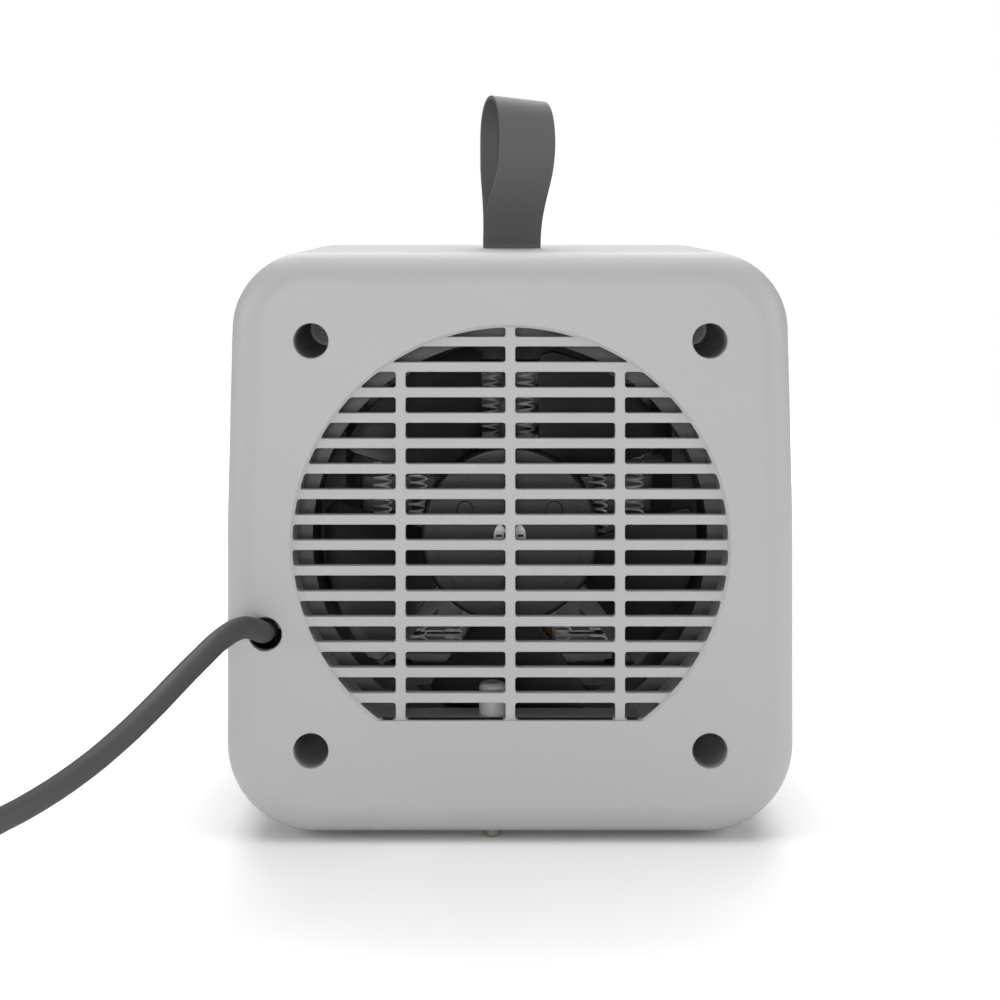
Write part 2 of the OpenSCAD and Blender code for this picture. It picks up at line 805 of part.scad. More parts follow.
module heat_sleeve() {
    color([0.62, 0.62, 0.64]) on_axis(sleeve_depth) difference() {
        union() {
            cylinder(r = sleeve_flange_r, h = sleeve_t);
            linear_extrude(sleeve_end - sleeve_depth)
                rounded_square(sleeve_half + sleeve_t, sleeve_half + sleeve_t, sleeve_corner + sleeve_t);
        }
        translate([0, 0, -1]) linear_extrude(body_d) rounded_square(sleeve_half, sleeve_half, sleeve_corner);
        for (p = [[0, core_depth + core_l / 2], [-lead_x, element_depth], [lead_x, element_depth]])
            translate([p[0], -sleeve_half + 2, p[1] - sleeve_depth]) rotate([90, 0, 0])
                cylinder(r = lead_hole_r, h = 6);
    }
}

// Two outer cards reach the sleeve's round corners; the two inner ones reach its flat sides
module element_cards() {
    back = element_depth - card_l / 2;
    corner_up = card_low_z + card_t / 2 - (sleeve_half - sleeve_corner);
    outer_half = sleeve_half - sleeve_corner + sqrt(pow(sleeve_corner, 2) - pow(corner_up, 2));
    color([0.78, 0.72, 0.6]) on_axis(back) for (s = [-1, 1]) {
        card(s * card_mid_z, sleeve_half, coil_r + gap);
        card(s * card_low_z, outer_half, 1);
    }
}

module card(z, half, hole_r) {
    difference() {
        translate([-half, z - card_t / 2, 0]) cube([2 * half, card_t, card_l]);
        for (x = run_xs, m = [-1, 1]) translate([m * x, z + card_t, card_l / 2]) rotate([90, 0, 0])
            cylinder(r = hole_r, h = 2 * card_t);
    }
}

module coil_runs(xs) {
    color([0.8, 0.8, 0.82]) on_axis(element_depth) for (x = xs, m = [-1, 1])
        translate([m * x, coil_l / 2, 0]) rotate([90, 0, 0]) ring(coil_r, coil_r - 0.8, coil_l);
}

module heating_coil_low() {
    coil_runs([run_xs[0], run_xs[1]]);
}

module heating_coil_high() {
    coil_runs([run_xs[2], run_xs[3]]);
}

module element_terminals() {
    z = coil_l / 2 + card_t + tab_h / 2;
    color(steel) on_axis(element_depth) for (s = [-1, 1]) {
        for (m = [-1, 1]) translate([m * (lead_x + 4), s * z, 0]) cube([12, tab_h, 6], center = true);
        for (m = [-1, 1]) translate([m * coil_pitch, s * z, 0]) cube([16, tab_h, 6], center = true);
    }
}

// Snap-action cut-out on a bracket that hangs from the upper inner card
module thermal_cutout() {
    bracket_t = 0.8;
    up = card_mid_z + 13;
    on_axis(element_depth + card_l / 2) {
        color(steel) translate([-3, card_mid_z - 0.5, 0]) cube([6, 20, bracket_t]);
        color([0.3, 0.2, 0.15]) translate([0, up, bracket_t]) cylinder(r = 7, h = 6);
        color(steel) translate([0, up, bracket_t + 6]) cylinder(r = 5.5, h = 1.5);
    }
}

// Fuse link against the front edge of the lower inner card
module thermal_fuse() {
    fuse_r = 2;
    color(steel) on_axis(element_depth + card_l / 2 + fuse_r) translate([-6, -card_mid_z, 0])
        rotate([0, 90, 0]) {
        cylinder(r = fuse_r, h = 12);
        translate([0, 0, -8]) cylinder(r = 0.5, h = 28);
    }
}

module control_body(s, r) {
    at_depth(control_front - control_l) translate([s * knob_x, base_z + knob_z, 0]) difference() {
        union() {
            translate([-control_half, -control_half, 0])
                cube([2 * control_half, 2 * control_half, control_l]);
            translate([0, 0, control_l]) cylinder(r = bushing_r, h = wall + nut_h + 0.4);
            for (t = [-1, 1]) translate([t * 6 - 1.5, -4, -6]) cube([3, 8, 6.1]);
        }
        translate([0, 0, 4]) cylinder(r = r + slip, h = control_l + wall + nut_h + 4);
    }
}

module spindle(s) {
    at_depth(control_front - control_l + 4.2) translate([s * knob_x, base_z + knob_z, 0])
        cylinder(r = spindle_r, h = control_l - 4.2 + wall + knob_out - 3);
}

module knob(s) {
    cavity_h = nut_h + 0.8;
    at_depth(body_d + knob_gap) translate([s * knob_x, base_z + knob_z, 0]) difference() {
        union() {
            cylinder(r = knob_r, h = knob_out - knob_gap - 1);
            translate([0, 0, knob_out - knob_gap - 1]) cylinder(r1 = knob_r, r2 = knob_r - 1, h = 1);
        }
        translate([0, 0, -1]) cylinder(r = knob_cavity_r, h = cavity_h + 1);
        translate([0, 0, -1]) cylinder(r = spindle_r + 0.02, h = knob_out - 2.6 - knob_gap + 1);
        for (a = [0:20:340]) rotate(a) translate([knob_r + 0.5, 0, -1]) cylinder(r = 0.9, h = knob_out + 2);
        translate([-0.6, knob_r - 5, knob_out - knob_gap - 0.6]) cube([1.2, 6, 2]);
    }
}

module control_nut(s) {
    at_depth(body_d) translate([s * knob_x, base_z + knob_z, 0]) difference() {
        cylinder(r = 8, h = nut_h, $fn = 6);
        translate([0, 0, -1]) cylinder(r = bushing_r + 0.02, h = nut_h + 2);
    }
}

module thermostat_body() { color([0.82, 0.8, 0.74]) control_body(1, spindle_r); }
module thermostat_spindle() { color(steel) spindle(1); }
module thermostat_knob() { color(dark_grey) knob(1); }
module thermostat_nut() { color(steel) control_nut(1); }
module switch_body() { color([0.82, 0.8, 0.74]) control_body(-1, spindle_r); }
module switch_spindle() { color(steel) spindle(-1); }
module switch_knob() { color(dark_grey) knob(-1); }
module switch_nut() { color(steel) control_nut(-1); }

module pilot_lens() {
    color([0.9, 0.25, 0.1]) at_depth(pilot_back) translate([0, base_z + knob_z, 0]) {
        cylinder(r = pilot_r + 1, h = pilot_flange);
        cylinder(r = pilot_r, h = pilot_flange + wall + 0.4);
        translate([0, 0, pilot_flange + wall + 0.4]) cylinder(r1 = pilot_r, r2 = pilot_r - 1.2, h = 0.8);
    }
}

module pilot_lamp() {
    bulb_l = 12;
    color([0.9, 0.85, 0.8]) at_depth(pilot_back - bulb_l) translate([0, base_z + knob_z, 0]) {
        cylinder(r = 2.2, h = bulb_l);
        for (s = [-1, 1]) translate([s, 0, -8]) cylinder(r = 0.35, h = 8.1);
    }
}

module tip_switch() {
    x = tip_switch_x;
    z = tip_switch_z;
    color([0.16, 0.16, 0.17]) difference() {
        block(x, x + 20, tip_depth - tip_switch_half, tip_depth + tip_switch_half, z + 1, z + 11);
        for (peg_x = tip_peg_xs) at_depth(0) translate([peg_x, tip_peg_z, 0])
            cylinder(r = tip_peg_r + slip, h = 2 * tip_depth);
    }
    color([0.8, 0.2, 0.15]) translate([x + 1.6, tip_y, z]) cylinder(r = 1, h = 1.2);
    color(steel) for (t = [8, 16])
        block(x + t, x + t + 2.8, tip_depth - 0.4, tip_depth + 0.4, z + 10.9, z + 15);
}

module tip_plunger() {
    color([0.9, 0.9, 0.88]) translate([tip_x, tip_y, 0]) {
        cylinder(r1 = plunger_r - 0.6, r2 = plunger_r, h = 0.8);
        translate([0, 0, 0.8]) cylinder(r = plunger_r, h = plunger_top - 0.8);
        translate([0, 0, collar_z]) cylinder(r = collar_r, h = collar_t);
    }
}

module tip_spring() {
    color(steel) translate([tip_x, tip_y, plunger_top])
        ring(plunger_r - 0.2, plunger_r - 0.8, spring_top - plunger_top);
}

module terminal_block() {
    color([0.92, 0.91, 0.86]) difference() {
        block(block_x0, block_x1, block_d, block_d + 18, block_z, block_z + 14);
        for (d = [4, 9, 14], x = [-5, 5]) translate([(block_x0 + block_x1) / 2 + x, rear_y - block_d - d,
            block_z + 6])
            cylinder(r = 1.6, h = 10);
    }
}

// Live and neutral, from the end of the lead's sheath down to the terminal block
module supply_leads() {
    end_y = rear_y - block_d - 9;
    for (i = [0, 1]) color(i == 0 ? [0.4, 0.22, 0.12] : [0.15, 0.3, 0.65]) {
        x = cord_x - 1.4 + 2.8 * i;
        low_z = block_z + 6 + 3 * i;
        turn_y = rear_y - 44 - 4 * i;
        swept_tube([[x, rear_y - 28, cord_z], [x, turn_y + 6, cord_z - 1], [x, turn_y, cord_z - 6],
            [x, turn_y, low_z + 8], [x - 2, turn_y - 4, low_z], [cord_x - 12, end_y + 6, low_z],
            [cord_x - 18, end_y, low_z], [block_x1, end_y, low_z]], 1.1, lead_sides);
    }
}

module motor_leads() {
    y = rear_y - core_depth - core_l / 2;
    end_y = rear_y - block_d - 9;
    color([0.75, 0.75, 0.78]) for (s = [-1, 1]) {
        x = s * 1.8;
        low_z = block_z + 8 + s * 2;
        swept_tube([[x, y, axis_z - limb_low - 5], [x, y, low_z + 6], [x + 3, y - 3, low_z],
            [x + 10, end_y + 3, low_z], [x + 16, end_y, low_z], [block_x0, end_y, low_z]], 0.9, lead_sides);
    }
}

module element_leads() {
    y = rear_y - element_depth;
    z = base_z + knob_z + control_half;
    end_y = rear_y - control_front + control_l - 2.5;
    color([0.85, 0.8, 0.7]) for (s = [-1, 1])
        swept_tube([[s * lead_x, y, axis_z - coil_l / 2 - card_t - tab_h], [s * lead_x, y, z + 4],
            [s * (lead_x + 1), y - 3, z + 1.5], [s * knob_x, end_y + 8, z + 1.5],
            [s * knob_x, end_y + 1.5, z + 1.5], [s * knob_x, end_y, z]], 1.1, lead_sides);
}

module cord_clamp() {
    color([0.9, 0.9, 0.88]) difference() {
        block(cord_x - clamp_half, cord_x + clamp_half, clamp_start, clamp_end, cord_z + 0.3, clamp_top);
        at_depth(0) translate([cord_x, cord_z, 0]) cylinder(r = cord_r + 0.1, h = 20);
        for (s = [-1, 1]) translate([cord_x + s * clamp_screw_x, rear_y - clamp_screw_depth, cord_z - 1])
            cylinder(r = clamp_shank_r + 0.3, h = clamp_top - cord_z + 2);
    }
}

module clamp_screws() {
    color(steel) for (s = [-1, 1])
        translate([cord_x + s * clamp_screw_x, rear_y - clamp_screw_depth, clamp_top]) difference() {
            union() {
                cylinder(r = clamp_head_r, h = clamp_head_h);
                translate([0, 0, -cord_r - 5]) cylinder(r = clamp_shank_r, h = cord_r + 5.5);
            }
            translate([-2, -0.4, clamp_head_h / 2]) cube([4, 0.8, 2]);
        }
}

// A tube swept along a list of points: one ring of corners at each point
function unit(v) = v / norm(v);
function tangent(p, i) = unit(p[min(i + 1, len(p) - 1)] - p[max(i - 1, 0)]);
function turned(side, t) = unit(side - (side * t) * t);
function side_list(p, i, side) = i == len(p) ? [] :
    let (s = turned(side, tangent(p, i))) concat([s], side_list(p, i + 1, s));

module swept_tube(p, r, n) {
    last = len(p) - 1;
    sides = side_list(p, 0, cross(tangent(p, 0), [0.3, 0.2, 1]));
    polyhedron(
        points = [for (i = [0:last], k = [0:n - 1]) p[i]
            + r * (cos(360 * k / n) * sides[i] + sin(360 * k / n) * cross(sides[i], tangent(p, i)))],
        faces = concat(
            [[for (k = [0:n - 1]) n - 1 - k]],
            [for (i = [0:last - 1], k = [0:n - 1])
                [i * n + k, i * n + (k + 1) % n, (i + 1) * n + (k + 1) % n, (i + 1) * n + k]],
            [[for (k = [0:n - 1]) last * n + k]]
        )
    );
}

function behind(route) = [for (p = route) [cord_x + p[0], rear_y + p[1], p[2]]];

module mains_cord() {
    color(dark_grey) {
        swept_tube(behind(cord_route), cord_r, cord_sides);
        swept_tube(behind(tail_route), cord_r, cord_sides);
    }
}

module cord_coil() {
    r = cord_r;
    color(dark_grey) translate([coil_x, rear_y + coil_back, 0]) rotate_extrude() {
        translate([coil_in_r, r]) square([coil_out_r - coil_in_r, coil_top - 2 * r]);
        translate([coil_in_r + r, 0]) square([coil_out_r - coil_in_r - 2 * r, coil_top]);
        for (x = [coil_in_r + r, coil_out_r - r], z = [r, coil_top - r]) translate([x, z]) circle(r = r);
    }
}

module cord_tie() {
    half_w = coil_mid_r - coil_in_r + 0.8;
    color([0.12, 0.12, 0.13]) translate([coil_x, rear_y + coil_back, 0]) rotate(-20)
        translate([coil_mid_r - half_w, -3, 0.02]) difference() {
            cube([2 * half_w, 6, coil_top + 0.8]);
            translate([0.7, -1, -1]) cube([2 * half_w - 1.4, 8, coil_top + 1.05]);
        }
}

module at_plug() {
    translate(behind(tail_route)[len(tail_route) - 1]) rotate([0, 0, plug_heading])
        rotate([0, 90 - plug_tilt, 0]) rotate([0, 0, 90]) children();
}

module plug_body() {
    color(dark_grey) at_plug() {
        cylinder(r1 = plug_neck_r - 1, r2 = plug_neck_r + 1.5, h = plug_neck_l);
        translate([0, 0, plug_neck_l]) difference() {
            union() {
                cylinder(r1 = plug_neck_r + 3, r2 = plug_r, h = 7);
                translate([0, 0, 7]) cylinder(r = plug_r, h = plug_l - 7);
            }
            for (s = [-1, 1]) translate([-plug_r - 1, s * (plug_flat + 5) - 5, -1])
                cube([2 * plug_r + 2, 10, plug_l + 2]);
            for (s = [-1, 1]) translate([s * pin_pitch / 2, 0, plug_l - pin_root_l])
                cylinder(r = pin_root_r, h = pin_root_l + 1);
        }
    }
}

module plug_pins() {
    color(steel) at_plug() for (s = [-1, 1])
        translate([s * pin_pitch / 2, 0, plug_neck_l + plug_l]) {
            translate([0, 0, -pin_root_l]) cylinder(r = pin_root_r, h = pin_root_l + 1);
            cylinder(r = pin_r, h = pin_l - pin_tip);
            translate([0, 0, pin_l - pin_tip]) cylinder(r1 = pin_r, r2 = pin_r - pin_tip, h = pin_tip);
        }
}

rear_shell();
front_shell();
front_grille();
case_screws();
feet();
strap_handle();
strap_anchor();
strap_pin();
fan_shroud();
shroud_screws();
fan_wheel();
fan_clip();
motor_shaft();
motor_rotor();
motor_core();
motor_bobbin();
motor_winding();
motor_bridge_rear();
motor_bridge_front();
bearing_rear();
bearing_front();
motor_screws();
heat_sleeve();
element_cards();
heating_coil_low();
heating_coil_high();
element_terminals();
thermal_cutout();
thermal_fuse();
thermostat_body();
thermostat_spindle();
thermostat_knob();
thermostat_nut();
switch_body();
switch_spindle();
switch_knob();
switch_nut();
pilot_lens();
pilot_lamp();
tip_switch();
tip_plunger();
tip_spring();
terminal_block();
supply_leads();
motor_leads();
element_leads();
cord_clamp();
clamp_screws();
mains_cord();
cord_coil();
cord_tie();
plug_body();
plug_pins();
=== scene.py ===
import bpy
import bmesh
import json
import math
from mathutils import Matrix, Vector


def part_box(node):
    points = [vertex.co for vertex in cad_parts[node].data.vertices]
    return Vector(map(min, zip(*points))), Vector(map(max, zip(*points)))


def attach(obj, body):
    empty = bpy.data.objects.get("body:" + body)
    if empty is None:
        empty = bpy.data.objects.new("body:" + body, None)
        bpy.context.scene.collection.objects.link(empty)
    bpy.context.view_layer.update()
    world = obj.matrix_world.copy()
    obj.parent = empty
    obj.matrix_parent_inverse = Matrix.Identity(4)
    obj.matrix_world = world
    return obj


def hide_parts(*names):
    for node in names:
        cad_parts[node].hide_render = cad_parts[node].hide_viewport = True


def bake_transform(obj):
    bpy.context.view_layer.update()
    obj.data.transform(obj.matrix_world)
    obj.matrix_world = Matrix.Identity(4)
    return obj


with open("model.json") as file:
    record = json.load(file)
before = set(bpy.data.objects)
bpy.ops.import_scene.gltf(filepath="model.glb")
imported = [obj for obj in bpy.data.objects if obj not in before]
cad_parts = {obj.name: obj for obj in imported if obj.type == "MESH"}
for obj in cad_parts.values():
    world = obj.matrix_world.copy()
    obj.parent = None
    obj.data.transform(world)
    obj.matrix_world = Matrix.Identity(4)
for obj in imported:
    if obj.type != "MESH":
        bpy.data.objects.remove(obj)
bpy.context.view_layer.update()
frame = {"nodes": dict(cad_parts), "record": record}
nodes = frame["nodes"]
mm = 0.001

# main planes of the case, read from the CAD shells
rearLow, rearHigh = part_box("rear_shell")
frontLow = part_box("front_shell")[0]
shaftLow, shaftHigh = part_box("motor_shaft")
rearY, seamY, frontY = rearHigh.y, rearLow.y, frontLow.y
baseZ, topZ = rearLow.z, rearHigh.z
halfWidth = rearHigh.x
axisZ = (shaftLow.z + shaftHigh.z) / 2
tiny = 1e-5


def deselect():
    for obj in bpy.context.selected_objects:
        obj.select_set(False)


def only(obj):
    deselect()
    obj.select_set(True)
    bpy.context.view_layer.objects.active = obj
    return obj


def beginEdit(obj):
    only(obj)
    bpy.ops.object.mode_set(mode="EDIT")
    bpy.ops.mesh.select_mode(type="VERT")
    bpy.ops.mesh.select_all(action="DESELECT")


def endEdit():
    bpy.ops.object.mode_set(mode="OBJECT")


def freeze(obj):  # puts an object's place, turn and scale into its mesh
    only(obj)
    bpy.ops.object.transform_apply(location=True, rotation=True, scale=True)
    return obj


def named(name):
    obj = bpy.context.active_object
    obj.name = obj.data.name = name
    return obj


def addBox(name, low, high):
    low, high = Vector(low), Vector(high)
    deselect()
    bpy.ops.mesh.primitive_cube_add(size=1, location=(low + high) / 2, scale=high - low)
    return freeze(named(name))


def addRod(name, radius, y0, y1, x, z, sides=64, radius2=None):  # along Y; radius2 is at y1
    deselect()
    end = radius if radius2 is None else radius2
    bpy.ops.mesh.primitive_cone_add(vertices=sides, radius1=radius, radius2=end, depth=abs(y1 - y0),
                                    location=(x, (y0 + y1) / 2, z),
                                    rotation=(-math.pi / 2 if y1 > y0 else math.pi / 2, 0, 0))
    return freeze(named(name))


def pickVerts(obj, test):
    mesh = bmesh.from_edit_mesh(obj.data)
    for v in mesh.verts:
        v.select_set(False)
    for v in mesh.verts:
        if test(v.co):
            v.select_set(True)
    mesh.select_flush(True)
    bmesh.update_edit_mesh(obj.data)


def pickEdges(obj, test):
    bpy.ops.mesh.select_mode(type="EDGE")
    mesh = bmesh.from_edit_mesh(obj.data)
    for e in mesh.edges:
        e.select_set(False)
    found = [e for e in mesh.edges if test(e)]
    for e in found:
        e.select_set(True)
    bmesh.update_edit_mesh(obj.data)
    return len(found)


def alongY(e):
    a, b = e.verts[0].co, e.verts[1].co
    return abs(a.y - b.y) > tiny and abs(a.x - b.x) < tiny and abs(a.z - b.z) < tiny


def onPlane(e, y):
    return all(abs(v.co.y - y) < tiny for v in e.verts)


def rounded(obj, test, radius, segments):
    beginEdit(obj)
    if pickEdges(obj, test):
        bpy.ops.mesh.bevel(offset=radius, offset_type="OFFSET", segments=segments, affect="EDGES")
    endEdit()
    return obj


def combine(target, tool, how):
    only(target)
    step = target.modifiers.new("combine", "BOOLEAN")
    step.operation = how
    step.object = tool
    step.solver = "EXACT"
    bpy.ops.object.modifier_apply(modifier=step.name)
    bpy.data.objects.remove(tool, do_unlink=True)
    return target


def cut(target, tool):
    return combine(target, tool, "DIFFERENCE")


def weld(target, tool):
    return combine(target, tool, "UNION")


def joined(pieces, name):
    deselect()
    for obj in pieces:
        obj.select_set(True)
    bpy.context.view_layer.objects.active = pieces[0]
    bpy.ops.object.join()
    return named(name)


def applyAll(obj):
    only(obj)
    for step in list(obj.modifiers):
        bpy.ops.object.modifier_apply(modifier=step.name)
    return obj


def faceOut(obj):  # every face points away from the solid
    beginEdit(obj)
    bpy.ops.mesh.select_all(action="SELECT")
    bpy.ops.mesh.normals_make_consistent(inside=False)
    endEdit()
    return obj


def thicken(sheet, thick, edge, segments, degrees):  # gives a sheet its thickness and softens its edges
    wall = sheet.modifiers.new("thickness", "SOLIDIFY")
    wall.thickness = thick
    wall.offset = 0
    soft = sheet.modifiers.new("softEdge", "BEVEL")
    soft.width = edge
    soft.segments = segments
    soft.limit_method = "ANGLE"
    soft.angle_limit = math.radians(degrees)
    return applyAll(sheet)


def smooth(obj, degrees=30, weighted=True):
    only(obj)
    bpy.ops.object.shade_smooth_by_angle(angle=math.radians(degrees))
    if weighted:
        step = obj.modifiers.new("normals", "WEIGHTED_NORMAL")
        step.keep_sharp = True
        applyAll(obj)
    return obj


def place(obj, material, body, slotName, *replaced):
    obj.data.materials.clear()
    obj.data.materials.append(material)
    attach(obj, body)
    if replaced:
        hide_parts(*replaced)
    return obj


# camera
view = {"x": 6.4 * mm, "behind": 600 * mm, "z": 200.3 * mm, "lens": 68.9, "sensor": 36, "shift": (0.010, -0.293)}
bpy.ops.object.camera_add(location=(view["x"], rearY + view["behind"], view["z"]),
                          rotation=(math.pi / 2, 0, math.pi))
camera = bpy.context.active_object
camera.data.sensor_width = view["sensor"]
camera.data.lens = view["lens"]
camera.data.shift_x, camera.data.shift_y = view["shift"]
bpy.context.scene.camera = camera
bpy.context.scene.view_settings.view_transform = "Standard"
print("camera placed")


# shader helpers
def newMaterial(name):
    material = bpy.data.materials.new(name)
    material.use_nodes = True
    return material, material.node_tree, material.node_tree.nodes["Principled BSDF"]


def addNode(tree, kind, **values):
    node = tree.nodes.new(kind)
    for key, value in values.items():
        if hasattr(node, key):
            setattr(node, key, value)
        else:
            node.inputs[key].default_value = value
    return node


def newGroup(name, inputs, outputs):
    tree = bpy.data.node_groups.new(name, "ShaderNodeTree")
    for socket, kind, value in inputs:
        made = tree.interface.new_socket(name=socket, in_out="INPUT", socket_type=kind)
        made.default_value = value
    for socket, kind in outputs:
        tree.interface.new_socket(name=socket, in_out="OUTPUT", socket_type=kind)
    return tree, tree.nodes.new("NodeGroupInput"), tree.nodes.new("NodeGroupOutput")


def mathNode(tree, operation, *values):  # each value is a number or another node's output
    node = tree.nodes.new("ShaderNodeMath")
    node.operation = operation
    for socket, value in zip(node.inputs, values):
        if isinstance(value, (int, float)):
            socket.default_value = value
        else:
            tree.links.new(value, socket)
    return node.outputs[0]


floatKind, colorKind, vectorKind = "NodeSocketFloat", "NodeSocketColor", "NodeSocketVector"
groupOutputs = [("Color", colorKind), ("Roughness", floatKind), ("Normal", vectorKind)]
moulded = {"slowScale": 22.0, "specks": 0.05, "roughSwing": 0.18, "bump": 0.06 * mm}
rolled = {"stainScale": 90.0, "stains": 0.3, "darkest": 0.82, "roughSwing": 0.35, "bump": 0.04 * mm}


def wireGroup(tree, given, result, tone, rough, height, distance):  # what both groups end in
    shade = addNode(tree, "ShaderNodeVectorMath", operation="SCALE")
    bump = addNode(tree, "ShaderNodeBump", Distance=distance)
    for start, end in ((given.outputs["Color"], shade.inputs[0]), (tone, shade.inputs["Scale"]),
                       (shade.outputs[0], result.inputs["Color"]), (rough, result.inputs["Roughness"]),
                       (given.outputs["Depth"], bump.inputs["Strength"]), (height, bump.inputs["Height"]),
                       (bump.outputs[0], result.inputs["Normal"])):
        tree.links.new(start, end)


def makeGrainGroup():  # fine spark-eroded texture of moulded plastic, with slow changes of tone
    tree, given, result = newGroup(
        "mouldedGrain",
        [("Color", colorKind, (0.5, 0.5, 0.5, 1)), ("Grain size mm", floatKind, 0.35),
         ("Depth", floatKind, 0.3), ("Mottle", floatKind, 0.04), ("Roughness", floatKind, 0.5)], groupOutputs)
    coord = addNode(tree, "ShaderNodeTexCoord")
    fineScale = mathNode(tree, "DIVIDE", 1000.0, given.outputs["Grain size mm"])  # grains to the metre
    fine = addNode(tree, "ShaderNodeTexNoise", Detail=3.0, Roughness=0.6)
    slow = addNode(tree, "ShaderNodeTexNoise", Scale=moulded["slowScale"], Detail=4.0, Roughness=0.55)
    tree.links.new(fineScale, fine.inputs["Scale"])
    for noise in (fine, slow):
        tree.links.new(coord.outputs["Object"], noise.inputs["Vector"])
    swing = mathNode(tree, "SUBTRACT", slow.outputs["Fac"], 0.5)
    slowTone = mathNode(tree, "MULTIPLY_ADD", swing, given.outputs["Mottle"], 1.0)
    speck = mathNode(tree, "SUBTRACT", fine.outputs["Fac"], 0.5)
    tone = mathNode(tree, "MULTIPLY_ADD", speck, moulded["specks"], slowTone)
    rough = mathNode(tree, "MULTIPLY_ADD", swing, moulded["roughSwing"], given.outputs["Roughness"])
    wireGroup(tree, given, result, tone, rough, fine.outputs["Fac"], moulded["bump"])
    return tree


def makeMetalGroup():  # drawn or rolled metal: streaks along one axis and faint stains
    tree, given, result = newGroup(
        "rolledMetal",
        [("Color", colorKind, (0.6, 0.6, 0.6, 1)), ("Stretch", vectorKind, (300, 4000, 4000)),
         ("Depth", floatKind, 0.15), ("Roughness", floatKind, 0.35)], groupOutputs)
    coord = addNode(tree, "ShaderNodeTexCoord")
    streak = addNode(tree, "ShaderNodeTexNoise", Scale=1.0, Detail=4.0)
    stretched = addNode(tree, "ShaderNodeVectorMath", operation="MULTIPLY")
    tree.links.new(coord.outputs["Object"], stretched.inputs[0])
    tree.links.new(given.outputs["Stretch"], stretched.inputs[1])
    tree.links.new(stretched.outputs[0], streak.inputs["Vector"])
    stain = addNode(tree, "ShaderNodeTexNoise", Scale=rolled["stainScale"], Detail=5.0)
    tree.links.new(coord.outputs["Object"], stain.inputs["Vector"])
    tone = mathNode(tree, "MULTIPLY_ADD", stain.outputs["Fac"], rolled["stains"], rolled["darkest"])
    swing = mathNode(tree, "SUBTRACT", streak.outputs["Fac"], 0.5)
    rough = mathNode(tree, "MULTIPLY_ADD", swing, rolled["roughSwing"], given.outputs["Roughness"])
    wireGroup(tree, given, result, tone, rough, streak.outputs["Fac"], rolled["bump"])
    return tree


grainGroup = makeGrainGroup()
metalGroup = makeMetalGroup()


def fitGroup(name, group, settings, **shader):
    material, tree, bsdf = newMaterial(name)
    node = tree.nodes.new("ShaderNodeGroup")
    node.node_tree = group
    for key, value in settings.items():
        node.inputs[key].default_value = (*value, 1) if key == "Color" else value
    tree.links.new(node.outputs["Color"], bsdf.inputs["Base Color"])
    tree.links.new(node.outputs["Roughness"], bsdf.inputs["Roughness"])
    tree.links.new(node.outputs["Normal"], bsdf.inputs["Normal"])
    for key, value in shader.items():
        bsdf.inputs[key.replace("_", " ")].default_value = value
    return material


def plastic(name, color, grain=0.35, depth=0.3, mottle=0.04, roughness=0.5, **shader):
    return fitGroup(name, grainGroup, {"Color": color, "Grain size mm": grain, "Depth": depth,
                                       "Mottle": mottle, "Roughness": roughness}, **shader)


def metal(name, color, stretch=(300, 4000, 4000), depth=0.15, roughness=0.35):
    return fitGroup(name, metalGroup, {"Color": color, "Stretch": stretch, "Depth": depth,
                                       "Roughness": roughness}, Metallic=1.0)


casePlastic = plastic("casePlastic", (0.355, 0.351, 0.356), grain=0.4, depth=0.35, mottle=0.03, roughness=0.5)
darkPlastic = plastic("darkPlastic", (0.022, 0.022, 0.024), grain=0.5, depth=0.3, mottle=0.3, roughness=0.42)
cordSheath = plastic("cordSheath", (0.038, 0.038, 0.041), grain=0.25, depth=0.45, mottle=0.25, roughness=0.62)
plugPlastic = plastic("plugPlastic", (0.04, 0.04, 0.043), grain=0.45, depth=0.4, mottle=0.15, roughness=0.5)
strapSilicone = plastic("strapSilicone", (0.08, 0.08, 0.083), grain=0.3, depth=0.25, mottle=0.12, roughness=0.6)
clipSteel = metal("clipSteel", (0.3, 0.3, 0.31), roughness=0.45)
darkSatin = plastic("darkSatin", (0.04, 0.04, 0.042), grain=0.4, depth=0.3, mottle=0.12, roughness=0.45)
print("materials ready")

# mains lead
lead = {
    "diameter": 6.8 * mm, "startZ": 3.4, "layerZ": 9.3, "humpZ": 10.2,
    # sideways, behind the rear face, up
    "route": [
        (77, -28, 66.3), (77, -14, 66.3), (77.5, 0, 67), (79.2, 8, 69.8), (82.4, 16, 71.8),
        (87, 27, 70.8), (91.5, 37, 67.5), (96, 47, 63.8), (102.3, 60, 58.3), (109, 69.5, 52.8),
        (119, 79, 45.8), (131, 85, 39), (138, 86, 35.5), (146, 85, 31), (154, 81.5, 26),
        (160, 76, 21), (164.5, 68, 15.5), (166.6, 59, 10.5), (167, 49, 6.8), (167, 39, 4.6),
        (167, 29, 3.6), (167, 19, 3.4), (167, 9, 3.4)],
    "tail": [
        (182.5, -24.5, 10.2), (190, -32.3, 10.2), (197.5, -40, 9.8), (205, -47.4, 7.6), (213.5, -54, 5.4),
        (223, -58.6, 4.4), (232.5, -61, 4.9), (242, -61.8, 6.6)],
    "coilX": 212, "coilBack": 5, "radii": [44.8, 38, 31.2, 34.6, 41.4],
    # degrees round the coil, counted on through its turns
    "coilFrom": 190, "coilTo": 2025, "turnStep": 15, "stepAt": 120, "window": 60, "layerFrom": 1110, "humpFrom": 1150,
}


def easeStep(x):
    x = min(max(x, 0), 1)
    return x * x * (3 - 2 * x)


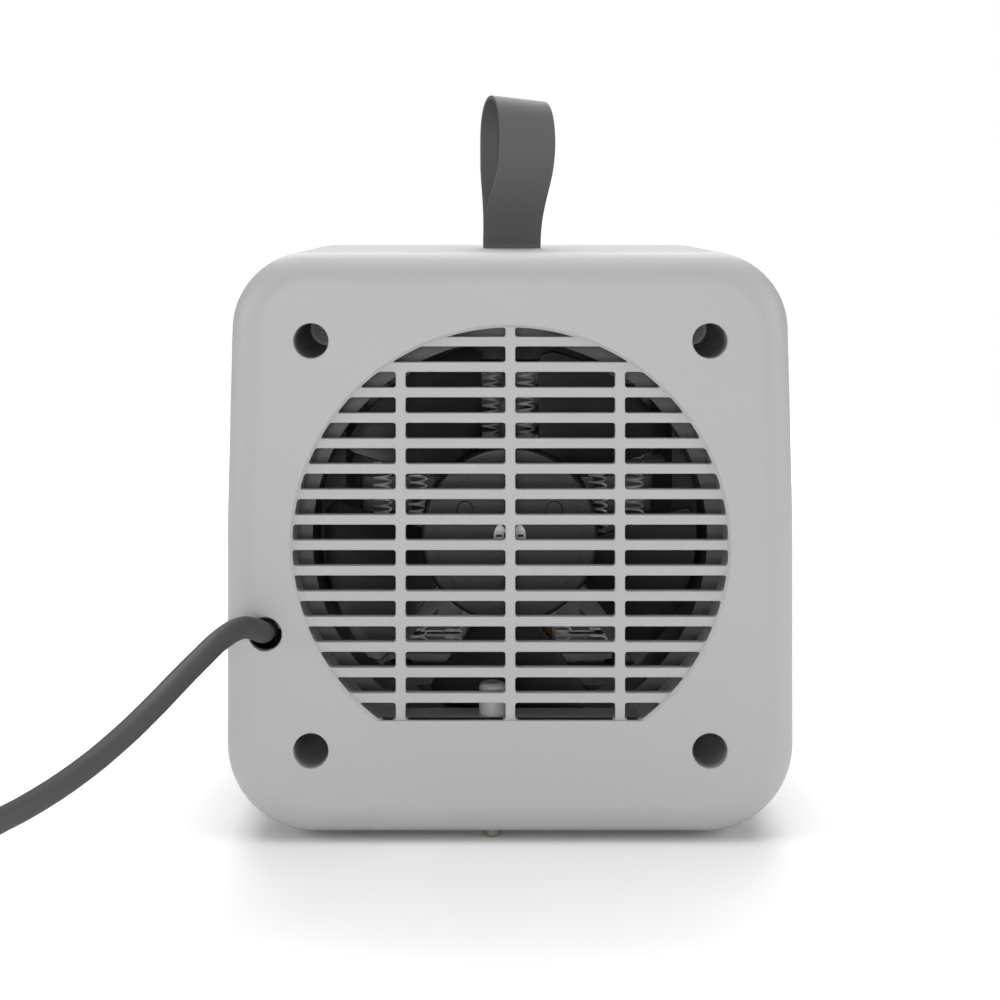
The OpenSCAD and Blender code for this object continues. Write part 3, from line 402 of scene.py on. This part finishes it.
# each turn is a circle; in one window the lead steps to the next turn, and the top turns pass over it there
def coilPoint(angle):
    radii, window = lead["radii"], lead["window"]
    turn = (angle - lead["stepAt"]) / 360
    index = int(math.floor(turn))
    across = easeStep((turn - index) * (360 / window)) if index > 0 else 1
    radius = radii[min(max(index, 0), len(radii) - 1)]
    before = radii[min(max(index - 1, 0), len(radii) - 1)]
    radius = before + (radius - before) * across
    up = lead["startZ"]
    if angle > lead["layerFrom"]:
        up += (lead["layerZ"] - lead["startZ"]) * easeStep((angle - lead["layerFrom"]) / window)
    if angle > lead["humpFrom"]:
        middle = lead["stepAt"] + window / 2
        near = abs((angle - middle + 180) % 360 - 180)
        up += (lead["humpZ"] - lead["layerZ"]) * (1 - easeStep((near - window / 2) / (window / 2)))
    a = math.radians(angle)
    return (lead["coilX"] + radius * math.cos(a), lead["coilBack"] + radius * math.sin(a), up)


def makeLead():
    turns = [coilPoint(a) for a in range(lead["coilFrom"], lead["coilTo"], lead["turnStep"])]
    points = [Vector((x * mm, rearY + back * mm, z * mm)) for x, back, z in lead["route"] + turns + lead["tail"]]
    curve = bpy.data.curves.new("mainsLead", "CURVE")
    curve.dimensions = "3D"
    curve.resolution_u = 6
    curve.bevel_depth = lead["diameter"] / 2
    curve.bevel_resolution = 6
    curve.use_fill_caps = True
    line = curve.splines.new("BEZIER")
    line.bezier_points.add(len(points) - 1)
    for knot, point in zip(line.bezier_points, points):
        knot.co = point
        knot.handle_left_type = knot.handle_right_type = "AUTO"
    cord = bpy.data.objects.new("mainsLead", curve)
    bpy.context.scene.collection.objects.link(cord)
    return place(cord, cordSheath, "root", "cord", "mains_cord", "cord_coil")


mainsLead = makeLead()
print("lead laid")

# case shells
case = {
    "cornerLow": 28 * mm, "cornerTop": 24 * mm, "lean": 2.2 * mm, "leanStart": 98 * mm, "rim": 10.5 * mm,
    "wall": 2.5 * mm, "seamRound": 0.45 * mm, "holeRound": 0.45 * mm, "sides": 16,
    "rimSides": 10, "softSides": 3,
}
duct = {"radius": 68.5 * mm, "drop": 54.9 * mm, "collar": 16 * mm, "wall": 2 * mm, "chamfer": 0.9 * mm}
screwHole = {"fromSide": 27.4 * mm, "fromEnd": 27.7 * mm, "radius": 5.5 * mm, "tower": 7.6 * mm,
             "depth": 59 * mm, "shank": 2.2 * mm}
screwSpots = [(x, z) for x in (-halfWidth + screwHole["fromSide"], halfWidth - screwHole["fromSide"])
              for z in (baseZ + screwHole["fromEnd"], topZ - screwHole["fromEnd"])]
leadHole = {"x": halfWidth - 13 * mm, "z": baseZ + 64.3 * mm, "radius": 5.25 * mm}


def caseBlank(name, inset):  # the case's outer form, or its hollow when inset by the wall
    inner = Vector((inset, inset, inset))
    low = Vector((-halfWidth, frontY, baseZ)) + inner
    high = Vector((halfWidth, rearY, topZ)) - inner
    blank = addBox(name, low, high)
    beginEdit(blank)
    bpy.ops.mesh.select_all(action="SELECT")
    bpy.ops.mesh.bisect(plane_co=(0, 0, baseZ + case["leanStart"]), plane_no=(0, 0, 1))
    pickVerts(blank, lambda co: co.z > high.z - tiny)
    bpy.ops.transform.resize(value=(1 - case["lean"] / halfWidth, 1, 1), center_override=(0, 0, 0))
    endEdit()
    rounded(blank, lambda e: alongY(e) and e.verts[0].co.z < low.z + tiny, case["cornerLow"] - inset, case["sides"])
    rounded(blank, lambda e: alongY(e) and e.verts[0].co.z > high.z - tiny, case["cornerTop"] - inset, case["sides"])
    rounded(blank, lambda e: onPlane(e, low.y) or onPlane(e, high.y), case["rim"] - inset, case["rimSides"])
    return blank


def halfOfCase(name, y0, y1):  # hollow case between two planes, with its seam edge softened
    shell = cut(caseBlank(name, 0), caseBlank("hollow", case["wall"]))
    reach = 3 * halfWidth
    combine(shell, addBox("half", (-reach, y0, -reach), (reach, y1, reach)), "INTERSECT")
    middle = Vector((0, 0, axisZ))

    def outerSeam(e):
        if not onPlane(e, seamY):
            return False
        return any(abs(f.normal.y) < 0.5 and f.normal.dot(f.calc_center_median() - middle) > 0
                   for f in e.link_faces)

    return rounded(shell, outerSeam, case["seamRound"], case["softSides"])


def ductPrism(name, radius, y0, y1, radius2=None):  # round, with a flat along the bottom
    prism = addRod(name, radius, y0, y1, 0, axisZ, sides=128, radius2=radius2)
    beginEdit(prism)
    bpy.ops.mesh.select_all(action="SELECT")
    flat = axisZ - duct["drop"] - (radius - duct["radius"] if radius2 is None else 0)
    bpy.ops.mesh.bisect(plane_co=(0, 0, flat), plane_no=(0, 0, 1), use_fill=True, clear_inner=True)
    endEdit()
    return prism


def softenHole(shell, x, z, radius, y):
    def around(e):
        return onPlane(e, y) and all(abs(math.hypot(v.co.x - x, v.co.z - z) - radius) < 20 * tiny for v in e.verts)

    return rounded(shell, around, case["holeRound"], case["softSides"])


def makeRearShell():
    shell = halfOfCase("rearShell", seamY, rearY + mm)
    inside = rearY - case["wall"] / 2
    weld(shell, ductPrism("collar", duct["radius"] + duct["wall"], inside, rearY - duct["collar"]))
    for x, z in screwSpots:
        weld(shell, addRod("tower", screwHole["tower"], inside, seamY, x, z, 48))
    cut(shell, ductPrism("duct", duct["radius"], rearY + mm, rearY - duct["collar"] - mm))
    spare = 0.5 * mm  # the cone starts in front of the face, so no two faces lie in one plane
    cut(shell, ductPrism("mouth", duct["radius"] + duct["chamfer"] + spare, rearY + spare,
                         rearY - duct["chamfer"] - spare, duct["radius"] - spare))
    for x, z in screwSpots:
        cut(shell, addRod("access", screwHole["radius"], rearY + mm, rearY - screwHole["depth"], x, z, 48))
        cut(shell, addRod("shank", screwHole["shank"], rearY, seamY - mm, x, z, 32))
        softenHole(shell, x, z, screwHole["radius"], rearY)
    cut(shell, addRod("leadHole", leadHole["radius"], rearY + mm, rearY - 2 * case["wall"],
                      leadHole["x"], leadHole["z"], 48))
    softenHole(shell, leadHole["x"], leadHole["z"], leadHole["radius"], rearY)
    return smooth(place(shell, casePlastic, "root", "case", "rear_shell"))


rearShell = makeRearShell()
print("rear shell done", len(rearShell.data.polygons))

# louvres
louvre = {"pitch": 8 * mm, "bar": 3.1 * mm, "recess": 1.3 * mm, "thick": 3 * mm, "rib": 34.5 * mm, "seat": 0.6 * mm,
          "lowest": -6, "highest": 8, "cornerRound": 0.8 * mm, "edgeRound": 0.35 * mm}


def slotBoxes(name, rows, columns, y0, y1):  # rows and columns hold (low, high) pairs
    boxes = [addBox(name, (x0, y0, z0), (x1, y1, z1)) for z0, z1, spans in rows for x0, x1 in columns[spans]]
    return joined(boxes, name)


def roundSlots(slots):
    def sharp(e):
        return alongY(e) and len(e.link_faces) == 2 and e.calc_face_angle(0) > math.radians(25)

    return rounded(slots, sharp, louvre["cornerRound"], 4)


def rowSpan(k):  # from the top of one bar to the foot of the next
    half = louvre["bar"] / 2
    return axisZ + k * louvre["pitch"] + half, axisZ + (k + 1) * louvre["pitch"] - half


def ribSpans(edge):  # the openings between the two edges, the side ribs and the middle rib
    half, rib = louvre["bar"] / 2, louvre["rib"]
    return [(-edge, -rib - half), (-rib + half, -half), (half, rib - half), (rib + half, edge)]


def makeRearLouvres():
    face = rearY - louvre["recess"]
    back = face - louvre["thick"]
    half = louvre["bar"] / 2
    plate = ductPrism("rearLouvres", duct["radius"] + louvre["seat"], face, back)
    edge = duct["radius"] + mm
    rows = []
    for k in range(louvre["lowest"] - 1, louvre["highest"] + 1):
        low, high = rowSpan(k)
        low = low if k >= louvre["lowest"] else axisZ - edge
        high = high if k < louvre["highest"] else axisZ + edge
        rows.append((low, high, "wide" if k >= louvre["highest"] - 1 else "all"))
    columns = {"wide": [(-edge, -half), (half, edge)], "all": ribSpans(edge)}
    slots = slotBoxes("slots", rows, columns, back - mm, face + mm)
    combine(slots, ductPrism("duct", duct["radius"], face + 2 * mm, back - 2 * mm), "INTERSECT")
    cut(plate, roundSlots(slots))
    middle = Vector((0, 0, axisZ))
    spare = 0.1 * mm  # room for rounding when the rim is looked for

    def slotRim(e):
        return onPlane(e, face) and any(abs(f.normal.y) < 0.5 for f in e.link_faces) and all(
            (Vector((v.co.x, 0, v.co.z)) - middle).length < duct["radius"] + spare
            and v.co.z > axisZ - duct["drop"] - spare for v in e.verts)

    rounded(plate, slotRim, louvre["edgeRound"], 2)
    return smooth(place(plate, casePlastic, "root", "case"))


rearLouvres = makeRearLouvres()
print("rear louvres done", len(rearLouvres.data.polygons))

# front shell and grille
knobLow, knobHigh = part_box("thermostat_knob")
grilleLow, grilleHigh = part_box("front_grille")
boss = {"radius": 5 * mm, "hole": 2 * mm, "deep": 18 * mm}
control = {"x": (knobLow.x + knobHigh.x) / 2, "z": (knobLow.z + knobHigh.z) / 2, "hole": 5.15 * mm,
           "lensHole": 3.1 * mm}
outlet = {"gap": 0.3 * mm, "half": grilleHigh.x + 0.3 * mm, "corner": 16 * mm, "depth": 20 * mm,
          "rimRound": 0.8 * mm}
grille = {"frame": 2.6 * mm, "pocket": mm, "rows": 8, "rise": 4.4 * mm, "edgeRound": 0.5 * mm}


def squarePrism(name, half, corner, y0, y1):  # a square with round corners, along Y, on the fan's axis
    prism = addBox(name, (-half, min(y0, y1), axisZ - half), (half, max(y0, y1), axisZ + half))
    return rounded(prism, alongY, corner, 12)


def makeFrontShell():
    shell = halfOfCase("frontShell", frontY - mm, seamY)
    for x, z in screwSpots:
        weld(shell, addRod("boss", boss["radius"], seamY, frontY + case["wall"] / 2, x, z, 32))
        cut(shell, addRod("pilotHole", boss["hole"], seamY + mm, seamY - boss["deep"], x, z, 24))
    cut(shell, squarePrism("outlet", outlet["half"], outlet["corner"], frontY - mm, frontY + outlet["depth"]))
    inside = frontY + 2 * case["wall"]
    for x in (-control["x"], control["x"]):
        cut(shell, addRod("controlHole", control["hole"], frontY - mm, inside, x, control["z"], 32))
    cut(shell, addRod("lensHole", control["lensHole"], frontY - mm, inside, 0, control["z"], 32))
    reach = outlet["half"] + 0.2 * mm

    def outletRim(e):
        return onPlane(e, frontY) and all(max(abs(v.co.x), abs(v.co.z - axisZ)) < reach for v in e.verts)

    rounded(shell, outletRim, outlet["rimRound"], case["softSides"])
    return smooth(place(shell, casePlastic, "root", "case", "front_shell"))


frontShell = makeFrontShell()
print("front shell done", len(frontShell.data.polygons))


def makeFrontGrille():
    half = outlet["half"] - outlet["gap"]
    frameHalf, frameCorner = half - grille["frame"], outlet["corner"] - grille["frame"]
    face, back = grilleLow.y, grilleHigh.y
    slatFace = face + grille["pocket"]
    plate = squarePrism("frontGrille", half, outlet["corner"], face, back)
    cut(plate, squarePrism("pocket", frameHalf, frameCorner, face - mm, slatFace))
    rows = [(*rowSpan(k), "all") for k in range(-grille["rows"], grille["rows"])]
    slots = roundSlots(slotBoxes("slots", rows, {"all": ribSpans(frameHalf + mm)}, face - mm, back + mm))
    for v in slots.data.vertices:  # the slats slant, so nothing shows straight through
        v.co.z += grille["rise"] * (0.5 - (v.co.y - slatFace) / (back - slatFace))
    inside = squarePrism("inside", frameHalf, frameCorner, face - 2 * mm, back + 2 * mm)
    cut(plate, combine(slots, inside, "INTERSECT"))

    def rim(e):
        return onPlane(e, face) and any(abs(f.normal.y) < 0.5 for f in e.link_faces)

    rounded(plate, rim, grille["edgeRound"], case["softSides"])
    return smooth(place(plate, darkSatin, "root", "grille", "front_grille"))


frontGrille = makeFrontGrille()
print("front grille done", len(frontGrille.data.polygons))

# strap handle
strapLow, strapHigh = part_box("strap_handle")
pinLow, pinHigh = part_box("strap_pin")
strap = {
    "width": strapHigh.x - strapLow.x, "thick": 1.2 * mm, "x": (strapLow.x + strapHigh.x) / 2,
    "y": (pinLow.y + pinHigh.y) / 2, "rootZ": topZ + 1.2 * mm, "crest": strapHigh.z - 0.6 * mm,
    "swell": 14.96 * mm, "legY": 0.62 * mm, "legEnd": 5 * mm, "pinZ": (pinLow.z + pinHigh.z) / 2,
    "pinRound": 2.75 * mm, "twist": math.radians(18), "twistBy": 0.55, "lean": 1.9 * mm, "leanRate": 1.4,
    "roll": 0.095, "edge": 0.32 * mm, "bendTo": 12 * mm,
}


def strapPath():  # (y, z) round the loop, down one leg, round the pin and up the other leg
    height = strap["crest"] - strap["rootZ"]
    path = []
    for degrees in range(6, 355, 3):
        u = math.radians(degrees)
        y = strap["swell"] * math.sin(u) * math.sin(u / 2) ** 1.5 + strap["legY"] * math.cos(u / 2)
        path.append((y, strap["rootZ"] + height * (1 - math.cos(u)) / 2))
    legTop, legLow = strap["rootZ"], strap["pinZ"] + strap["legEnd"]
    legs = [legTop + (legLow - legTop) * i / 6 for i in range(7)]
    path += [(-strap["legY"], z) for z in legs]
    for degrees in range(-250, 71, 20):
        a = math.radians(degrees)
        path.append((strap["pinRound"] * math.cos(a), strap["pinZ"] + strap["pinRound"] * math.sin(a)))
    path += [(strap["legY"], z) for z in reversed(legs)]
    return path


def makeStrap():
    path = strapPath()
    deselect()
    bpy.ops.mesh.primitive_cylinder_add(vertices=len(path), radius=1, depth=2, end_fill_type="NOTHING")
    band = named("strapLoop")
    height = strap["crest"] - strap["rootZ"]
    for v in band.data.vertices:  # each ring of the tube takes its place on the path
        step = round(math.atan2(v.co.y, v.co.x) / (2 * math.pi) * len(path)) % len(path)
        y, z = path[step]
        across = v.co.z * strap["width"] / 2
        t = max(z - strap["rootZ"], 0) / height
        turn = strap["twist"] * easeStep(t / strap["twistBy"])
        lean = -strap["lean"] * easeStep(t * strap["leanRate"])
        v.co = (strap["x"] + lean + across * math.cos(turn) - y * math.sin(turn),
                strap["y"] + across * math.sin(turn) + y * math.cos(turn),
                z + across * strap["roll"] * easeStep(t))
    smooth(faceOut(thicken(band, strap["thick"], strap["edge"], 3, 60)), 50)
    band.data.materials.append(strapSilicone)
    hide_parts("strap_handle", "strap_anchor")
    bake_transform(band)


makeStrap()
print("strap done")

# fan wheel
wheelLow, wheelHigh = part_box("fan_wheel")
fan = {
    "radius": (wheelHigh.x - wheelLow.x) / 2, "rearY": wheelHigh.y, "frontY": wheelHigh.y - 16 * mm,
    "hub": 29 * mm, "hubWall": 2 * mm, "hubRound": 1.6 * mm, "socket": 5.5 * mm, "bore": 2.05 * mm,
    "blades": 5, "first": 54, "gap": 9.4 * mm, "thick": 1.5 * mm, "reach": 7.4 * mm, "camber": 1.4 * mm,
    "middle": 9 * mm, "sunk": 1.2 * mm, "tipRound": 0.12, "tipIn": 0.16, "edge": 0.4 * mm,
}
hubFace = {"groove": 24 * mm, "core": 23.1 * mm, "deep": 0.35 * mm, "marks": (30, 150, 270), "markAt": 16.7 * mm,
           "markRadius": 2.6 * mm, "markLine": 0.18 * mm}


def addRing(name, major, minor, x, y, z, sides):
    deselect()
    bpy.ops.mesh.primitive_torus_add(major_radius=major, minor_radius=minor, major_segments=sides, minor_segments=8,
                                     location=(x, y, z), rotation=(math.pi / 2, 0, 0))
    return freeze(named(name))


def makeHub():
    rear, front, wall = fan["rearY"], fan["frontY"], fan["hubWall"]
    hub = addRod("hub", fan["hub"], rear, front, 0, axisZ, 96)
    cut(hub, addRod("hollow", fan["hub"] - wall, rear - wall, front - mm, 0, axisZ, 96))
    rounded(hub, lambda e: onPlane(e, rear), fan["hubRound"], 4)
    weld(hub, addRod("socket", fan["socket"], rear - mm, front + 2 * mm, 0, axisZ, 48))
    cut(hub, addRod("bore", fan["bore"], rear + mm, front, 0, axisZ, 32))
    groove = addRod("groove", hubFace["groove"], rear + mm, rear - hubFace["deep"], 0, axisZ, 96)
    cut(groove, addRod("core", hubFace["core"], rear + 2 * mm, rear - mm, 0, axisZ, 96))
    cut(hub, groove)
    marks = []
    for degrees in hubFace["marks"]:
        a = math.radians(degrees)
        marks.append(addRing("mark", hubFace["markRadius"], hubFace["markLine"], hubFace["markAt"] * math.cos(a), rear,
                             axisZ + hubFace["markAt"] * math.sin(a), 32))
    return joined([hub] + marks, "hub")


def makeBlade(degrees):
    deselect()
    bpy.ops.mesh.primitive_grid_add(x_subdivisions=16, y_subdivisions=16, size=1)
    blade = named("blade")
    halfPitch = math.pi / fan["blades"]
    root = fan["hub"] - fan["sunk"]
    tip = fan["tipRound"]
    for v in blade.data.vertices:
        p, q = v.co.x + 0.5, v.co.y * 2  # out along the blade, and across it from -1 to 1
        radius = root + (fan["radius"] - root) * p
        spread = halfPitch - math.asin(min(fan["gap"] / radius, 1))
        if p > 1 - tip:
            spread *= 1 - fan["tipIn"] * (1 - math.sqrt(max(1 - ((p - 1 + tip) / tip) ** 2, 0)))
        a = math.radians(degrees) + q * spread
        depth = fan["middle"] + q * fan["reach"] * (0.86 + 0.14 * p) - fan["camber"] * (1 - q * q)
        v.co = (radius * math.cos(a), fan["rearY"] - depth, axisZ + radius * math.sin(a))
    return thicken(blade, fan["thick"], fan["edge"], 2, 50)


def makeFanWheel():
    blades = [makeBlade(fan["first"] + i * 360 / fan["blades"]) for i in range(fan["blades"])]
    wheel = joined([makeHub()] + blades, "fanWheel")
    return smooth(place(wheel, fanPlastic, "fan", "dark_plastic", "fan_wheel"))


fanPlastic = plastic("fanPlastic", (0.014, 0.014, 0.015), grain=0.5, depth=0.2, mottle=0.25, roughness=0.36,
                     Specular_IOR_Level=0.25)
fanWheel = makeFanWheel()
print("fan done", len(fanWheel.data.polygons))

# heating coils: each set has four runs, two at each end of a row with this many gaps
wire = {"pitch": 2.5 * mm, "radius": 0.4 * mm, "steps": 14, "sides": 6, "uneven": 0.25 * mm, "unevenWaves": 23,
        "bow": 0.35 * mm, "bowWaves": 5, "gaps": {"heating_coil_low": 3, "heating_coil_high": 7}}


def makeCoilRun(x, y, low, high, outer, phase):
    deselect()
    bpy.ops.mesh.primitive_circle_add(vertices=wire["sides"], radius=wire["radius"],
                                      location=(outer - wire["radius"], 0, 0), rotation=(math.pi / 2, 0, 0))
    run = freeze(named("coilRun"))
    turns = round((high - low) / wire["pitch"])
    wind = run.modifiers.new("wind", "SCREW")
    wind.angle = 2 * math.pi
    wind.screw_offset = (high - low - 2 * wire["radius"]) / turns
    wind.iterations = turns
    wind.steps = wind.render_steps = wire["steps"]
    wind.use_smooth_shade = True
    applyAll(run)
    beginEdit(run)
    bpy.ops.mesh.select_all(action="SELECT")
    bpy.ops.mesh.fill_holes(sides=0)
    endEdit()
    faceOut(run)
    for v in run.data.vertices:
        t = v.co.z / (high - low)
        slack = math.sin(math.pi * t)
        turned = Matrix.Rotation(phase, 3, "Z") @ v.co
        drift = wire["uneven"] * slack * math.sin(wire["unevenWaves"] * t + phase * 3)
        bow = wire["bow"] * slack * math.sin(wire["bowWaves"] * t + phase * 7)
        v.co = (turned.x + x + bow, turned.y + y, turned.z + low + wire["radius"] + drift)
    return run


def makeCoils(node, name):
    low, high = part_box(node)
    outer = (high.y - low.y) / 2
    outermost = high.x - outer
    spacing = outermost * 2 / wire["gaps"][node]
    runs = []  # each run is turned a little further, so their windings don't line up
    for i, x in enumerate((-outermost, -outermost + spacing, outermost - spacing, outermost)):
        runs.append(makeCoilRun(x, (low.y + high.y) / 2, low.z, high.z, outer, 1.3 * i + high.x * 40))
    coils = joined(runs, name)
    return smooth(place(coils, heatingWire, "root", "heating_wire", node), 60, False)


heatingWire = plastic("heatingWire", (0.93, 0.93, 0.94), grain=0.2, depth=0.1, mottle=0.05, roughness=0.25,
                      Metallic=0.1)
for node, name in (("heating_coil_low", "coilsLow"), ("heating_coil_high", "coilsHigh")):
    print("coils done", len(makeCoils(node, name).data.polygons))

# hollow post on the duct's ledge that guides the tip rod
post = {"x": 5.6 * mm, "y": rearY - 10 * mm, "radius": 4.35 * mm, "top": 49.1 * mm, "dome": 1.9 * mm}


def makeTipPost():
    low = axisZ - duct["drop"] - duct["wall"] / 2
    deselect()
    bpy.ops.mesh.primitive_cylinder_add(vertices=64, radius=post["radius"], depth=post["top"] - low,
                                        location=(post["x"], post["y"], (post["top"] + low) / 2))
    body = freeze(named("tipPost"))
    rounded(body, lambda e: all(v.co.z > post["top"] - tiny for v in e.verts), post["dome"], 6)
    return smooth(place(body, casePlastic, "root", "case"))


makeTipPost()
print("tip post done")

# knobs
knob = {"flutes": 14, "flute": 1.5 * mm, "fluteOut": 0.55, "skirt": 2.5 * mm, "edge": 0.8 * mm,
        "pointerFrom": 2 * mm, "pointerLength": 6.2 * mm, "pointerWidth": 1.1 * mm, "pointerProud": 0.25 * mm,
        "pointerSunk": 0.5 * mm, "pointerRound": 0.45 * mm}
dial = {"out": 2.4 * mm, "dot": 0.55 * mm, "proud": 0.12 * mm, "sunk": 0.4 * mm}


def knobCentre(node):
    low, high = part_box(node)
    return (low.x + high.x) / 2, (low.z + high.z) / 2, (high.x - low.x) / 2


def makeKnob(node, body, name, degrees):
    low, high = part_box(node)
    x, z, radius = knobCentre(node)
    grip = addRod(name, radius, high.y, low.y, x, z, 96)
    rounded(grip, lambda e: onPlane(e, low.y), knob["edge"], 4)
    cutters = []
    for i in range(knob["flutes"]):
        a = 2 * math.pi * i / knob["flutes"]
        reach = radius + knob["fluteOut"] * knob["flute"]
        cutters.append(addRod("flute", knob["flute"], low.y - mm, high.y - knob["skirt"], x + reach * math.cos(a),
                              z + reach * math.sin(a), 16))
    cut(grip, joined(cutters, "flutes"))
    smooth(place(grip, knobPlastic, body, "knob", node))
    half, start = knob["pointerWidth"] / 2, z + knob["pointerFrom"]
    bar = addBox(name + "Pointer", (x - half, low.y - knob["pointerProud"], start),
                 (x + half, low.y + knob["pointerSunk"], start + knob["pointerLength"]))
    rounded(bar, alongY, knob["pointerRound"], 4)
    only(bar)
    bpy.ops.transform.rotate(value=math.radians(degrees), orient_axis="Y", orient_type="GLOBAL",
                             center_override=(x, 0, z))
    smooth(place(freeze(bar), markPaint, body, "knob"))


def makeDialTicks(node, name, start, step, count):
    x, z, radius = knobCentre(node)
    radius += dial["out"]
    ticks = []
    for i in range(count):
        a = math.radians(start - i * step)
        ticks.append(addRod("tick", dial["dot"], frontY - dial["proud"], frontY + dial["sunk"],
                            x + radius * math.cos(a), z + radius * math.sin(a), 20))
    smooth(place(joined(ticks, name), markDark, "root", "case"))


knobPlastic = plastic("knobPlastic", (0.045, 0.045, 0.048), grain=0.35, depth=0.3, mottle=0.12, roughness=0.42)
markPaint = plastic("markPaint", (0.72, 0.72, 0.71), grain=0.2, depth=0.1, mottle=0.05, roughness=0.5)
markDark = plastic("markDark", (0.12, 0.12, 0.125), grain=0.2, depth=0.1, mottle=0.05, roughness=0.5)
makeKnob("thermostat_knob", "thermostat_dial", "thermostatKnob", 135)
makeKnob("switch_knob", "mode_dial", "switchKnob", 67.5)
makeDialTicks("thermostat_knob", "heatTicks", 225, 33.75, 9)
makeDialTicks("switch_knob", "modeTicks", 157.5, 45, 4)
print("knobs done")

# finishes for everything shown as it is in the frame
burntMica = plastic("burntMica", (0.05, 0.042, 0.034), grain=0.5, depth=0.3, mottle=0.5, roughness=0.6)
creamPlastic = plastic("creamPlastic", (0.16, 0.15, 0.12), grain=0.3, depth=0.2, mottle=0.1, roughness=0.5)
footRubber = plastic("footRubber", (0.03, 0.03, 0.03), grain=0.6, depth=0.5, mottle=0.2, roughness=0.85)
lensPlastic = plastic("lensPlastic", (0.42, 0.04, 0.02), grain=0.1, depth=0.05, mottle=0.05, roughness=0.15)
lampGlass = plastic("lampGlass", (0.5, 0.3, 0.2), grain=0.1, depth=0.05, mottle=0.1, roughness=0.2)
leadSheath = plastic("leadSheath", (0.05, 0.05, 0.055), grain=0.3, depth=0.2, mottle=0.2, roughness=0.5)
# partly painted shade: the steel is made darker than bare steel so the screw heads deep in the rear holes stand for
# the shade there
darkSteelAndHoleShade = metal("darkSteelAndHoleShade", (0.09, 0.09, 0.095), roughness=0.5)
sleeveSteel = metal("sleeveSteel", (0.035, 0.035, 0.038), roughness=0.55)
rotorSteel = metal("rotorSteel", (0.2, 0.2, 0.21), roughness=0.4)
laminations = metal("laminations", (0.07, 0.07, 0.075), stretch=(40, 4000, 40), depth=0.4, roughness=0.5)
enamelCopper = metal("enamelCopper", (0.16, 0.06, 0.025), stretch=(60, 60, 2600), depth=0.5, roughness=0.35)
bronze = metal("bronze", (0.3, 0.2, 0.1), roughness=0.4)
brass = metal("brass", (0.72, 0.56, 0.28), roughness=0.25)
finishes = {
    "case": casePlastic, "grille": darkSatin, "steel": darkSteelAndHoleShade, "rubber_foot": footRubber, "strap": strapSilicone,
    "dark_plastic": darkPlastic, "rotor": rotorSteel, "lamination": laminations, "cream_plastic": creamPlastic,
    "copper": enamelCopper, "bronze": bronze, "sleeve": sleeveSteel, "mica": burntMica, "heating_wire": heatingWire,
    "cutout": darkSteelAndHoleShade, "knob": knobPlastic, "lens": lensPlastic, "lamp": lampGlass, "black_plastic": darkPlastic,
    "lead": leadSheath, "cord": cordSheath, "tie": darkPlastic, "plug": plugPlastic, "brass_pin": brass,
}
for part in frame["record"]["subparts"]:
    cadNode = nodes[part["node"]]
    cadNode.data.materials.clear()
    cadNode.data.materials.append(finishes[part["material_slot"]])
nodes["fan_clip"].data.materials[0] = clipSteel
print("finishes done")

# floor and light
studio = {
    "floorSize": 2.2, "backdrop": 1.0, "skyLight": 0.22, "aim": Vector((0, 0, 0.1)),
    # place, size and power of each lamp
    "topLight": ((0, -0.1, 2.2), 2.6, 42), "faceLight": ((0.08, 1.65, 0.24), 0.4, 9.2),
    "leftLight": ((1.5, 0.5, 0.6), 0.9, 9), "rightLight": ((-1.5, 0.5, 0.6), 0.9, 9),
    "backLight": ((0, -1.7, 1.9), 2, 46),
}


def addLamp(name):
    spot, size, power = studio[name]
    deselect()
    bpy.ops.object.light_add(type="AREA", location=spot)
    lamp = named(name)
    lamp.data.shape = "SQUARE"
    lamp.data.size = size
    lamp.data.energy = power
    lamp.rotation_euler = (studio["aim"] - Vector(spot)).to_track_quat("-Z", "Y").to_euler()


deselect()
bpy.ops.mesh.primitive_plane_add(size=studio["floorSize"], location=(0, 0, 0))
floor = named("floor")
floorPaint = plastic("floorPaint", (0.92, 0.92, 0.92), grain=0.1, depth=0.02, mottle=0.01, roughness=0.9)
floor.data.materials.append(floorPaint)
world = bpy.data.worlds.new("softWorld")
world.use_nodes = True
bpy.context.scene.world = world
sky = world.node_tree.nodes["Background"]
sky.inputs["Color"].default_value = (1, 1, 1, 1)
rays = world.node_tree.nodes.new("ShaderNodeLightPath")
level = world.node_tree.nodes.new("ShaderNodeMapRange")  # a white backdrop over a dimmer sky light
level.inputs["To Min"].default_value = studio["skyLight"]
level.inputs["To Max"].default_value = studio["backdrop"]
world.node_tree.links.new(rays.outputs["Is Camera Ray"], level.inputs["Value"])
world.node_tree.links.new(level.outputs["Result"], sky.inputs["Strength"])
for name in ("topLight", "faceLight", "leftLight", "rightLight", "backLight"):
    addLamp(name)
print("studio done")
